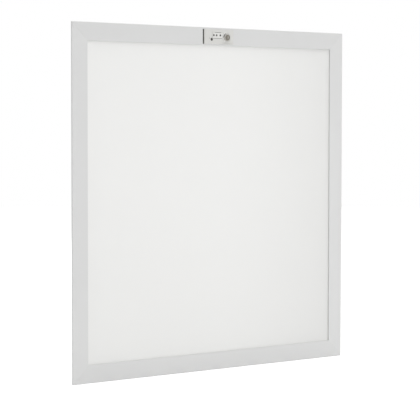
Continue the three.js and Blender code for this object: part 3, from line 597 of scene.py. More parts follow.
@dataclass(frozen=True)
class Finish:
    """A moulded or coated surface with a fine grain and a slow drift of its tone.

    Attributes:
        name: Its name.
        colour: Its middle colour.
        roughness: Its middle roughness.
        drift: How much its tone and roughness vary, as a share.
        patch: How far across a patch of tone is.
        grain: How far across one grain is.
        relief: How high the grain is.
        coat: How much clear gloss lies over it.
    """

    name: str
    colour: Colour
    roughness: float
    drift: float = 0.03
    patch: float = 40 * MM
    grain: float = 0.5 * MM
    relief: float = 0.01 * MM
    coat: float = 0.0

    def material(self) -> bpy.types.Material:
        """Builds the material."""
        nodes = Nodes(self.name)
        self.paint(nodes)
        return nodes.material

    def paint(self, nodes: Nodes) -> None:
        """Sets the tone, the roughness and the grain."""
        tone = nodes.noise(self.patch, 3.0)
        low, high = shade(self.colour, 1 - self.drift), shade(self.colour, 1 + self.drift)
        nodes.link(nodes.mix(nodes.range(tone, 0.3, 0.7, 0.0, 1.0), low, high), "Base Color")
        self.roughen(nodes, tone)
        nodes.link(nodes.bump(nodes.noise(self.grain, 3.0), self.relief), "Normal")
        if self.coat:
            nodes.set(Coat_Weight=self.coat, Coat_Roughness=0.12)

    def roughen(self, nodes: Nodes, tone: Any) -> None:
        """Lets the roughness follow the tone."""
        low, high = self.roughness * (1 - 2 * self.drift), self.roughness * (1 + 2 * self.drift)
        nodes.link(nodes.range(tone, 0.3, 0.7, low, high), "Roughness")


@dataclass(frozen=True)
class PowderCoat(Finish):
    """A sprayed and baked coat: a soft orange peel with a finer grain over it.

    Attributes:
        peel: How far across one wave of the peel is.
        peel_height: How high it is.
    """

    peel: float = 1.8 * MM
    peel_height: float = 0.012 * MM

    def paint(self, nodes: Nodes) -> None:
        """Adds the peel under the grain."""
        super().paint(nodes)
        peel = nodes.bump(nodes.noise(self.peel, 1.0), self.peel_height)
        nodes.link(nodes.bump(nodes.noise(self.grain, 2.0), self.relief, peel), "Normal")


@dataclass(frozen=True)
class PaintedShadeDiffuser(Finish):
    """A white diffusing sheet over a well, with painted shade: darker near the well's walls, on the right and
    at the bottom.

    Attributes:
        half: Half the clear opening.
        shade_reach: How far in from the wall the painted shade fades out.
        wall: The painted shade's tone at the wall, as a share of the middle's.
        side: The painted shade's tone at the far side, on the right, as a share.
        low: The painted shade's tone at the bottom, as a share.
    """

    half: float = 267 * MM
    shade_reach: float = 45 * MM
    wall: float = 0.985
    side: float = 0.91
    low: float = 0.965

    def paint(self, nodes: Nodes) -> None:
        """Lays painted shade over the sheet, darker near the walls, on the right and at the bottom, and a
        satin face on it.
        """
        super().paint(nodes)
        x, z = nodes.axis(0), nodes.axis(2)
        # painted shade: the tone falls near the walls, towards the right and towards the bottom
        edge = nodes.math("MAXIMUM", nodes.math("ABSOLUTE", x), nodes.math("ABSOLUTE", z))
        depth = nodes.math("SUBTRACT", self.half, edge)
        near = nodes.range(depth, 0.0, self.shade_reach, 1.0, 0.0)
        rim = nodes.math("MULTIPLY", nodes.math("POWER", near, 2.0), 1 - self.wall)
        right = nodes.range(x, 0.0, self.half, 0.0, 1.0)
        side = nodes.math("MULTIPLY", nodes.math("POWER", right, 1.7), 1 - self.side)
        bottom_shade = nodes.range(z, 0.1, -self.half, 0.0, 1.0)
        low = nodes.math("MULTIPLY", nodes.math("POWER", bottom_shade, 1.5), 1 - self.low)
        fall = nodes.math("ADD", nodes.math("ADD", rim, side), low)
        tone = nodes.mix(nodes.noise(self.patch, 2.0), shade(self.colour, 1 - self.drift), self.colour)
        nodes.link(nodes.mix(fall, tone, (0.0, 0.0, 0.0)), "Base Color")
        nodes.set(Specular_IOR_Level=0.45, Coat_Weight=0.15, Coat_Roughness=0.35)


@dataclass(frozen=True)
class PlatedSteel(Finish):
    """Drawn or rolled steel under a thin bright plate, with fine lines along one axis.

    Attributes:
        along: The axis that the lines run along.
    """

    along: Axis = Axis.X

    def paint(self, nodes: Nodes) -> None:
        """Draws the lines out along the axis, in tone, roughness and relief."""
        nodes.set(Metallic=1.0)
        scale = [60.0 / 1.0, 60.0, 60.0]
        scale[self.along.value] = 2.0
        lines = nodes.noise(0.02, 4.0, nodes.stretched(scale))
        cloud = nodes.noise(self.patch, 2.0)
        blend = nodes.math("ADD", nodes.math("MULTIPLY", lines, 0.6), nodes.math("MULTIPLY", cloud, 0.4))
        low, high = shade(self.colour, 1 - 3 * self.drift), shade(self.colour, 1 + self.drift)
        nodes.link(nodes.mix(nodes.range(blend, 0.35, 0.65, 0.0, 1.0), low, high), "Base Color")
        nodes.link(nodes.range(blend, 0.35, 0.65, self.roughness * 0.8, self.roughness * 1.25), "Roughness")
        nodes.link(nodes.bump(lines, self.relief), "Normal")


@dataclass(frozen=True)
class SparkMoulding(Finish):
    """Plastic from a spark-eroded mould: shallow round pits of one size."""

    def paint(self, nodes: Nodes) -> None:
        """Adds the pits over a slow waviness."""
        super().paint(nodes)
        wave = nodes.bump(nodes.noise(12 * MM, 1.0), 0.02 * MM)
        nodes.link(nodes.bump(nodes.cells(self.grain), self.relief, wave), "Normal")


@dataclass(frozen=True)
class SmokedPlastic(Finish):
    """Clear plastic with a dark tint, polished, with faint flow lines."""

    def paint(self, nodes: Nodes) -> None:
        """Adds flow lines and a polished face."""
        super().paint(nodes)
        flow = nodes.noise(1.5 * MM, 2.0, nodes.stretched((1.0, 1.0, 0.2)))
        nodes.link(nodes.bump(flow, self.relief), "Normal")
        nodes.set(Specular_IOR_Level=0.3)


@dataclass(frozen=True)
class PaintedLightLens(SmokedPlastic):
    """Smoked plastic with painted light: its round side painted pale as if lit, and a painted highlight on
    its face.

    Attributes:
        side_light: The colour of the painted light on the round side.
        start: Where the painted light on the side starts, along Y.
        painted_highlight: The colour of the upright painted highlight on the face.
        middle: The painted highlight's middle, along X and Z.
    """

    side_light: Colour = (0.74, 0.72, 0.68)
    start: float = -2.75 * MM
    painted_highlight: Colour = (0.55, 0.53, 0.48)
    middle: tuple[float, float] = (25.5 * MM, 281.4 * MM)

    def paint(self, nodes: Nodes) -> None:
        """Fades from the face's colour to the painted light on the side, and back again inside the housing,
        with a painted highlight on the face.
        """
        super().paint(nodes)
        y = nodes.axis(1)
        # painted light: the round side is painted pale as if lit, fading back to the face's colour inside the
        # housing
        share = nodes.math("MULTIPLY", nodes.range(y, self.start, self.start + 0.6 * MM, 0.0, 1.0),
                           nodes.range(y, 0.4 * MM, 1.4 * MM, 1.0, 0.0))
        off_x = nodes.math("ABSOLUTE", nodes.math("SUBTRACT", nodes.axis(0), self.middle[0]))
        off_z = nodes.math("ABSOLUTE", nodes.math("SUBTRACT", nodes.axis(2), self.middle[1]))
        # painted highlight: an upright bright band painted on the face
        bright = nodes.math("MULTIPLY", nodes.range(off_x, 0.3 * MM, 1.1 * MM, 1.0, 0.0),
                            nodes.range(off_z, 1.2 * MM, 3.0 * MM, 1.0, 0.0))
        face = nodes.mix(bright, self.colour, self.painted_highlight)
        nodes.link(nodes.mix(share, face, self.side_light), "Base Color")


@dataclass(frozen=True)
class FoamSeal(Finish):
    """Closed-cell foam: open bubbles on its cut faces."""

    def paint(self, nodes: Nodes) -> None:
        """Cuts the bubbles into the relief, and darkens the tone in them as painted shade in the pits."""
        bubble = nodes.cells(self.grain)
        # painted shade: the tone darkens towards the middle of each bubble
        nodes.link(nodes.mix(nodes.range(bubble, 0.0, 0.6, 0.0, 1.0), shade(self.colour, 0.6), self.colour),
                   "Base Color")
        nodes.set(Roughness=self.roughness)
        nodes.link(nodes.bump(bubble, self.relief), "Normal")


@dataclass(frozen=True)
class CircuitBoard(Finish):
    """Solder mask over copper: tracks show as slightly lighter, raised lines.

    Attributes:
        track: How far apart the tracks are.
    """

    track: float = 2.4 * MM

    def paint(self, nodes: Nodes) -> None:
        """Draws bent parallel tracks as bands of a warped wave."""
        super().paint(nodes)
        node = nodes.tree.nodes.new("ShaderNodeTexWave")
        node.inputs["Scale"].default_value = 0.3 / self.track
        node.inputs["Distortion"].default_value = 6.0
        node.inputs["Detail"].default_value = 0.0
        nodes.tree.links.new(nodes.place, node.inputs["Vector"])
        line = nodes.range(node.outputs["Fac"], 0.72, 0.8, 0.0, 1.0)
        nodes.link(nodes.mix(line, self.colour, shade(self.colour, 1.7)), "Base Color")
        nodes.link(nodes.bump(line, 0.035 * MM), "Normal")
        nodes.set(Coat_Weight=0.5, Coat_Roughness=0.15)


@dataclass(frozen=True)
class Ferrite(Finish):
    """A fired core with a taped winding: dull black with a band of amber tape.

    Attributes:
        tape: The tape's colour.
        middle: The middle of the winding, along Z. Not used.
        width: Half the winding's width. Not used.
    """

    tape: Colour = (0.55, 0.36, 0.06)
    middle: float = 150 * MM
    width: float = 10 * MM

    def paint(self, nodes: Nodes) -> None:
        """Lays the tape where the winding is, by place along X."""
        super().paint(nodes)
        off = nodes.math("ABSOLUTE", nodes.math("SUBTRACT", nodes.axis(0), 51 * MM))
        band = nodes.range(off, 16.9 * MM, 17.1 * MM, 0.0, 1.0)
        mottled = nodes.mix(nodes.noise(self.grain * 4), shade(self.tape, 0.85), self.tape)
        nodes.link(nodes.mix(band, self.colour, mottled), "Base Color")


FRAME_COAT = PowderCoat("frame_coat", (0.745, 0.747, 0.743), 0.42, drift=0.012, patch=160 * MM)
# painted shade: a darker copy of the frame's coat, for the top and bottom rails
FRAME_COAT_SHADED = PowderCoat("frame_coat_painted_shade", (0.73, 0.732, 0.728), 0.42, drift=0.012, patch=160 * MM)
DIFFUSER_PAINTED_SHADE = PaintedShadeDiffuser("opal", (0.915, 0.915, 0.90), 0.38, drift=0.006, patch=120 * MM, grain=0.8 * MM,
                 relief=0.004 * MM)
TRAY_COAT = PowderCoat("tray_coat", (0.74, 0.745, 0.735), 0.48, drift=0.012, patch=150 * MM)
SEAL_FOAM = FoamSeal("seal_foam", (0.45, 0.46, 0.46), 0.9, grain=0.6 * MM, relief=0.08 * MM)
REFLECTOR = Finish("reflector_white", (0.95, 0.95, 0.94), 0.6, drift=0.005)
BAR_WHITE = Finish("bar_white", (0.94, 0.94, 0.92), 0.4, drift=0.01, grain=0.25 * MM, coat=0.3)
SHEATH = Finish("lead_sheath", (0.78, 0.78, 0.76), 0.45, drift=0.03, patch=15 * MM, grain=0.3 * MM)
BLACK_RUBBER = SparkMoulding("black_rubber", (0.045, 0.045, 0.045), 0.75, drift=0.08, grain=0.3 * MM)
SENSOR_WHITE = SparkMoulding("sensor_white", (0.72, 0.716, 0.692), 0.5, drift=0.015, patch=12 * MM,
                             grain=0.22 * MM, relief=0.006 * MM)
STRIP_WHITE = SparkMoulding("strip_white", (0.77, 0.765, 0.74), 0.45, drift=0.01, patch=12 * MM,
                            grain=0.18 * MM, relief=0.004 * MM)
DARK_PLASTIC = SparkMoulding("dark_plastic", (0.085, 0.083, 0.078), 0.55, drift=0.06, grain=0.3 * MM)
SMOKED = SmokedPlastic("smoked_plastic", (0.03, 0.027, 0.022), 0.4, drift=0.04)
BUTTON_DARK = SparkMoulding("button_dark", (0.075, 0.068, 0.06), 0.5, drift=0.05, grain=0.2 * MM)
PAINTED_LIGHT_LENS = PaintedLightLens("lens_smoke", (0.215, 0.198, 0.168), 0.28, drift=0.05, patch=4 * MM)
NICKEL_CAN = PlatedSteel("nickel_can", (0.72, 0.71, 0.68), 0.25, along=Axis.Y)
BOARD_GREEN = CircuitBoard("board_green", (0.045, 0.2, 0.1), 0.35)
SPRING_STEEL = PlatedSteel("spring_steel", (0.62, 0.63, 0.65), 0.28, along=Axis.Z)
DRIVER_WHITE = SparkMoulding("driver_white", (0.80, 0.80, 0.775), 0.5, drift=0.015, grain=0.35 * MM)
FERRITE = Ferrite("ferrite", (0.05, 0.05, 0.052), 0.7, drift=0.1, grain=0.2 * MM, relief=0.02 * MM)
CAN_SLEEVE = Finish("capacitor_can", (0.09, 0.09, 0.12), 0.3, drift=0.05, coat=0.4)
ZINC_STEEL = PlatedSteel("zinc_steel", (0.66, 0.68, 0.70), 0.32, drift=0.04, patch=5 * MM)
WIRE_STEEL = PlatedSteel("wire_steel", (0.70, 0.71, 0.72), 0.26, along=Axis.Z)
TERMINAL_GREY = SparkMoulding("terminal_grey", (0.50, 0.51, 0.52), 0.5, drift=0.03)
RELEASE_ORANGE = SparkMoulding("release_orange", (0.75, 0.27, 0.06), 0.45, drift=0.03)
CLIP_NYLON = SparkMoulding("clip_nylon", (0.11, 0.11, 0.11), 0.5, drift=0.05)


# ---------------------------------------------------------------- bench


@dataclass(frozen=True)
class Edge:
    """How the sharp edges of a piece are rounded."""

    width: float = 0.25 * MM
    segments: int = 2
    angle: float = math.radians(38)


class Bench:
    """Puts pieces on the frame: each takes its node's place and body, and a finish."""

    def __init__(self, record: dict[str, Any]) -> None:
        """Reads which slot each node has.

        Args:
            record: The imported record.
        """
        self.slots = {row["node"]: row.get("material_slot") for row in record["subparts"]}
        self.made: dict[str, bpy.types.Material] = {}

    def material(self, finish: Finish) -> bpy.types.Material:
        """The finish's material, built once."""
        if finish.name not in self.made:
            self.made[finish.name] = finish.material()
        return self.made[finish.name]

    def span(self, node: str) -> tuple[np.ndarray, np.ndarray]:
        """The node's lowest and highest corner."""
        low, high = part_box(node)
        return np.array(low), np.array(high)

    def round_edges(self, piece: bpy.types.Object, edge: Edge | None) -> None:
        """Rounds a piece's sharp edges and weighs its normals by face.

        Args:
            piece: The piece.
            edge: How, or None for a piece whose rounding is in its mesh.
        """
        if edge is not None:
            bevel = piece.modifiers.new("edges", "BEVEL")
            bevel.width, bevel.segments = edge.width, edge.segments
            bevel.limit_method, bevel.angle_limit = "ANGLE", edge.angle
            bevel.use_clamp_overlap = True
        else:
            piece.data.set_sharp_from_angle(angle=math.radians(40))
        weigh = piece.modifiers.new("normals", "WEIGHTED_NORMAL")
        weigh.keep_sharp = True

    def piece(
        self, node: str, shape: Surface | bpy.types.Mesh, finish: Finish, edge: Edge | None = None,
        sheet: float = 0.0,
    ) -> bpy.types.Object:
        """Makes a piece that stands for a node.

        Args:
            node: The node.
            shape: Its surface or mesh.
            finish: Its finish.
            edge: How its edges are rounded.
            sheet: The wall that an open surface gets behind it, or nought for a closed one.

        Returns:
            The piece.
        """
        name = f"{node}_made"
        mesh = shape if isinstance(shape, bpy.types.Mesh) else as_mesh(name, shape)
        piece = bpy.data.objects.new(name, mesh)
        bpy.context.scene.collection.objects.link(piece)
        mesh.materials.clear()
        mesh.materials.append(self.material(finish))
        if sheet:
            wall = piece.modifiers.new("sheet", "SOLIDIFY")
            wall.thickness, wall.offset, wall.use_even_offset = sheet, -1.0, True
        self.round_edges(piece, edge)
        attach(piece, frame["nodes"][node]["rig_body"])
        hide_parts(node)
        log.info("%s: %d faces", name, len(mesh.polygons))
        return piece

    def keep(self, node: str, finish: Finish, edge: Edge | None = Edge()) -> None:
        """Keeps a node's own shape, with its edges rounded and a finish on it.

        Args:
            node: The node.
            finish: Its finish.
            edge: How its edges are rounded.
        """
        piece = frame["nodes"][node]
        piece.data.materials.clear()
        piece.data.materials.append(self.material(finish))
        weld = piece.modifiers.new("weld", "WELD")
        weld.merge_threshold = 0.001 * MM
        self.round_edges(piece, edge)
        log.info("%s: kept", node)


# ---------------------------------------------------------------- frame


@dataclass
class RailFrame:
    """Four mitred rails with a rounded section, their corner keys and the tray's screws.

    Attributes:
        face: Width of a rail's face.
        thick: Thickness of the face.
        lip: Depth of the turned-back outer edge.
        lip_thick: Its thickness.
        fin: Thickness of a fin.
        fin_depth: From the front to the back of the fins.
        outer_fin: The outer fin, from the panel's edge.
        inner_fin: The inner fin, from the panel's edge.
        gap: What each end stops short of the mitre.
        window: The sensor window's lowest and highest x, and its two places below the top edge.
    """

    face: float = 30.5 * MM
    thick: float = 2.0 * MM
    lip: float = 3.0 * MM
    lip_thick: float = 1.2 * MM
    fin: float = 1.3 * MM
    fin_depth: float = 6.2 * MM
    outer_fin: float = 9.0 * MM
    inner_fin: float = 23.6 * MM
    gap: float = 0.03 * MM
    window: tuple[float, float, float, float] = (-28 * MM, 39.82 * MM, 2.88 * MM, 28.65 * MM)
    relief: tuple[float, float] = (-38 * MM, 50.3 * MM)

    def section(self) -> np.ndarray:
        """The rail's section as inset and depth, with its arrises rounded."""
        inner, outer = self.inner_fin + self.fin, self.outer_fin + self.fin
        corners = [
            (0, 0), (self.face, 0), (self.face, self.thick), (inner, self.thick), (inner, self.fin_depth),
            (self.inner_fin, self.fin_depth), (self.inner_fin, self.thick), (outer, self.thick),
            (outer, self.fin_depth), (self.outer_fin, self.fin_depth), (self.outer_fin, self.thick),
            (self.lip_thick, self.thick), (self.lip_thick, self.lip), (0, self.lip),
        ]
        radii = np.array([0.7, 0.45, 0.3, 0.25, 0.3, 0.3, 0.25, 0.25, 0.3, 0.3, 0.25, 0.25, 0.3, 0.3]) * MM
        return soften(corners, radii, 5)

    def rail(self, length: float, edge: float, quarters: int) -> Surface:
        """A section carried from mitre to mitre, then turned to its side of the panel.

        A point at an inset lies half the length less the inset from the middle.

        Args:
            length: The panel's length along the rail.
            edge: From the panel's middle to the rail's outer edge.
            quarters: How many quarter turns clockwise from the top.

        Returns:
            The closed rail.
        """
        section = self.section()
        half = length / 2 - section[:, 0] - self.gap
        share = np.array([-1.0, -0.5, 0.0, 0.5, 1.0])[:, None]
        x, z = share * half[None], np.broadcast_to(edge - section[:, 0], (5, len(section)))
        angle = quarters * math.pi / 2
        cos, sin = round(math.cos(angle)), round(math.sin(angle))
        depth = np.broadcast_to(section[:, 1], x.shape)
        return loft(np.stack([x * cos + z * sin, depth, z * cos - x * sin], -1))

    def build(self, bench: Bench) -> None:
        """Makes the rails, keys and screws.

        Args:
            bench: Where they go.
        """
        top = bench.span("frame_rail_top")[1][2]
        right = bench.span("frame_rail_right")[1][0]
        edge = Edge(0.05 * MM, 1)
        x0, x1, upper, lower = self.window
        window = slab((x0, -5 * MM, top - lower), (x1, 12 * MM, top - upper), Axis.Y, 0.5 * MM, 0.1 * MM)
        relief = slab((self.relief[0], self.thick, top - 40 * MM),
                      (self.relief[1], 12 * MM, top - 1.6 * MM), Axis.Y, 0.5 * MM, 0.1 * MM)
        top_rail = carved("top_rail", self.rail(2 * right, top, 0), (Step.CUT, [window, relief]))
        # painted shade: the top rail takes the darker copy of the coat
        bench.piece("frame_rail_top", top_rail, FRAME_COAT_SHADED, edge)
        sides = (("right", 2 * top, right, 1), ("bottom", 2 * right, top, 2), ("left", 2 * top, right, 3))
        for side, length, reach, quarters in sides:
            # painted shade: the bottom rail takes the darker copy of the coat
            coat = FRAME_COAT_SHADED if side == "bottom" else FRAME_COAT
            bench.piece(f"frame_rail_{side}", self.rail(length, reach, quarters), coat, edge)
        for corner in ("top_left", "top_right", "bottom_left", "bottom_right"):
            bench.keep(f"corner_key_{corner}", ZINC_STEEL)
            Screw().build(bench, f"tray_screw_{corner}")


@dataclass
class Screw:
    """A pan-head screw with a cross recess.

    Attributes:
        shank: Shank radius.
        head: Head radius.
        tall: Head height.
        arm: Half the length of a recess arm.
        slot: Half the width of an arm.
        deep: How deep the recess is.
    """

    shank: float = 1.8 * MM
    head: float = 3.8 * MM
    tall: float = 2.2 * MM
    arm: float = 2.1 * MM
    slot: float = 0.42 * MM
    deep: float = 1.3 * MM

    def build(self, bench: Bench, node: str) -> None:
        """Makes the screw where its node is.

        The head is a disc of rings and spokes. Its height is a flattened dome, the head's height
        times the fourth root of one less the radius share to the fourth, less the recess, which
        falls to its depth where a point lies inside either arm.

        Args:
            bench: Where it goes.
            node: The node.
        """
        low, high = bench.span(node)
        centre = ((low + high) / 2)[[0, 2]]
        seat = high[1] - self.tall
        share = np.concatenate([np.linspace(0.0, 0.62, 22), np.linspace(0.66, 1.0, 12)])[::-1]
        angle = np.linspace(0.0, 2 * math.pi, 72, endpoint=False)
        across = self.head * share[:, None] * np.cos(angle)
        up = self.head * share[:, None] * np.sin(angle)
        dome = self.tall * np.clip(1 - share[:, None] ** 4, 0.0, 1.0) ** 0.25
        inside = np.minimum(
            self.fall(np.abs(across), self.arm) + 0 * up, self.fall(np.abs(up), self.slot))
        other = np.minimum(self.fall(np.abs(up), self.arm), self.fall(np.abs(across), self.slot))
        height = dome - self.deep * np.maximum(inside, other)
        top = placed(np.stack([across, up], -1) + centre, seat + height, Axis.Y)
        foot = np.array([(0.0, low[1]), (self.shank - 0.4 * MM, low[1]), (self.shank, low[1] + 0.4 * MM),
                         (self.shank, seat), (self.head, seat)])
        ring = foot[:, 0][:, None, None] * np.stack([np.cos(angle), np.sin(angle)], -1)[None] + centre
        under = placed(ring, foot[:, 1][:, None], Axis.Y)
        bench.piece(node, loft(np.concatenate([under, top])), ZINC_STEEL)

    def fall(self, distance: np.ndarray, limit: float) -> np.ndarray:
        """One well inside a limit and nought outside it, with a short slope between."""
        return np.clip((limit - distance) / (0.25 * MM) + 0.5, 0.0, 1.0)


# ---------------------------------------------------------------- light body


@dataclass
class LightBody:
    """The opal sheet, its seal, the pressed tray, the liner and the LED bars.

    Attributes:
        half_side: Half the panel's side.
        sheet: Thickness of the tray's sheet.
        lean: How far the tray's wall leans in.
        wall: Where the wall leaves the flange, from the panel's edge.
        flange: The flange's outer edge, from the panel's edge.
        corner: Corner radius of the wall.
        bend: Radius of the tray's bends.
        rib: Half the width of a stiffening rib.
        rib_height: How high a rib stands.
        rib_ring: Where the rib ring lies, from the tray's middle.
        rib_rows: Where the straight ribs lie.
        rib_reach: Half the length of a straight rib.
    """

    half_side: float = 297.5 * MM
    sheet: float = 0.7 * MM
    lean: float = 17.5 * MM
    wall: float = 28.5 * MM
    flange: float = 9.0 * MM
    corner: float = 14.0 * MM
    bend: float = 3.0 * MM
    rib: float = 3.0 * MM
    rib_height: float = 0.6 * MM
    rib_ring: float = 231.5 * MM
    rib_rows: tuple[float, ...] = (-150 * MM, -50 * MM, 50 * MM)
    rib_reach: float = 175 * MM

    def build(self, bench: Bench) -> None:
        """Makes every piece of the light body.

        Args:
            bench: Where they go.
        """
        low, high = bench.span("diffuser")
        bench.piece("diffuser", slab(low, high, Axis.Y, 2 * MM, 0.2 * MM), DIFFUSER_PAINTED_SHADE)
        bench.piece("diffuser_seal", self.seal(bench), SEAL_FOAM)
        bench.piece("rear_tray", self.tray(bench), TRAY_COAT, sheet=self.sheet)
        bench.keep("reflector_liner", REFLECTOR, None)
        bench.keep("bar_bus_lead", SHEATH, Edge(0.2 * MM, 2))
        for number in range(1, 6):
            node = f"led_bar_{number}"
            bench.piece(node, self.bar(bench, node), BAR_WHITE)

    def seal(self, bench: Bench) -> Surface:
        """A foam strip carried round the opening, its section a soft rectangle.

        Args:
            bench: Gives its place.

        Returns:
            The closed ring.
        """
        low, high = bench.span("diffuser_seal")
        width = 2.8 * MM
        section = soften([(0, low[1]), (width, low[1]), (width, high[1]), (0, high[1])], 0.5 * MM, 4)
        half = (high - low)[[0, 2]] / 2
        rings = outline(half, 2.85 * MM, section[:, 0], 8)
        return loft(placed(rings, section[:, 1][:, None], Axis.Y), tube=True)

    def section(self, back: float, flange_y: float) -> np.ndarray:
        """The tray's outside as place from the middle and depth, from the floor out to the rim.

        Args:
            back: The floor's depth.
            flange_y: The flange's depth.

        Returns:
            The chain of points with both bends rounded.
        """
        edge = self.half_side
        chain = [(edge - self.wall - self.lean - 8 * MM, back), (edge - self.wall - self.lean, back),
                 (edge - self.wall, flange_y), (edge - self.flange, flange_y)]
        return soften(chain, (0, self.bend, self.bend, 0), 7, closed=False)

    def tray(self, bench: Bench) -> Surface:
        """The tray's outside on a grid of two places.

        The depth follows the greater of the two distances from the middle through the section.
        Where both are past the corner's middle, the point is drawn in from the square corner to
        the corner's arc. Ribs add a raised cosine across a ring and along three straight lines.

        Args:
            bench: Gives its place.

        Returns:
            The open surface, with its faces out.
        """
        back = bench.span("rear_tray")[1][1]
        edge = self.half_side
        flange_y = 7.2 * MM
        section = self.section(back, flange_y)
        levels = np.concatenate([section[:, 0], edge - np.array([12, 18, 23, 26.1, 27.3]) * MM])
        ring = self.rib_ring + np.linspace(-1, 1, 9) * self.rib
        ends = self.rib_reach + np.linspace(-1, 1, 7) * self.rib
        arc = np.arange(239, 271, 1.5) * MM
        inner = np.concatenate([np.arange(15, 235, 20) * MM, levels, ring, arc])
        notch = (-38 * MM, 50.3 * MM)
        xs = np.unique(np.round(np.concatenate([inner, -inner, ends, -ends, [0.0], notch]), 7))
        rows = np.concatenate([row + np.linspace(-1, 1, 11) * self.rib for row in self.rib_rows])
        zs = np.unique(np.round(np.concatenate([inner, -inner, rows, [0.0]]), 7))
        x, z = np.meshgrid(xs, zs, indexing="ij")
        reach = np.maximum(np.abs(x), np.abs(z))
        depth = np.interp(reach, section[:, 0], section[:, 1]) + self.ribs(x, z)
        turn = edge - np.array([72.5 * MM, 50 * MM, self.wall, self.flange])
        radius = np.interp(reach, turn, [0.1 * MM, self.corner, self.corner, 3 * MM])
        beyond_x = np.abs(x) - (reach - radius)
        beyond_z = np.abs(z) - (reach - radius)
        bent = (beyond_x > 0) & (beyond_z > 0)
        pull = np.where(bent, radius / np.maximum(np.hypot(beyond_x, beyond_z), 1e-9), 1.0)
        pull = np.minimum(pull, 1.0)
        new_x = np.where(bent, np.sign(x) * (reach - radius + beyond_x * pull), x)
        new_z = np.where(bent, np.sign(z) * (reach - radius + beyond_z * pull), z)
        points = np.stack([new_x, depth, new_z], -1)
        number = np.arange(x.size).reshape(x.shape)
        quads = np.stack([number[:-1, :-1], number[:-1, 1:], number[1:, 1:], number[1:, :-1]], -1)
        middle_x, middle_z = (x[:-1, :-1] + x[1:, 1:]) / 2, (z[:-1, :-1] + z[1:, 1:]) / 2
        cut = (middle_x > notch[0]) & (middle_x < notch[1]) & (middle_z > edge - 26.1 * MM)
        return Surface(points.reshape(-1, 3), [quads[~cut]])

    def ribs(self, x: np.ndarray, z: np.ndarray) -> np.ndarray:
        """How far the ribs raise the floor at each place.

        Args:
            x: The places across.
            z: The places up.

        Returns:
            The height, a raised cosine of the distance from the nearest rib's middle.
        """
        ring = np.abs(np.maximum(np.abs(x), np.abs(z)) - self.rib_ring)
        beyond = np.maximum(np.abs(x) - self.rib_reach, 0.0)
        straight = np.min([np.hypot(z - row, beyond) for row in self.rib_rows], axis=0)
        near = np.minimum(np.minimum(ring, straight) / self.rib, 1.0)
        return self.rib_height * (1 + np.cos(math.pi * near)) / 2

    def bar(self, bench: Bench, node: str) -> Surface:
        """An LED bar: a thin board with six moulded lenses, each a dome with a dimple.

        Args:
            bench: Gives its place.
            node: The bar's node.

        Returns:
            The board and its lenses.
        """
        low, high = bench.span(node)
        front = high[1] - 1.2 * MM
        bar = slab((low[0], front, low[2]), high, Axis.Y, 0.8 * MM, 0.15 * MM)
        pitch = (high[0] - low[0]) / 6
        dome = soften([(0, 0.9), (1.6, 0.1), (3.6, 0), (5.2, 1.2), (6.2, 3.4), (6.5, 3.9), (6.5, 4.7),
                       (0, 4.7)], 0.8, 4, closed=False) * MM
        dome[:, 1] += front - 4.6 * MM
        for x in low[0] + pitch * (np.arange(6) + 0.5):
            bar = bar + turned(dome, (x, (low[2] + high[2]) / 2), Axis.Y, 40)
        return bar


# ---------------------------------------------------------------- sensor module


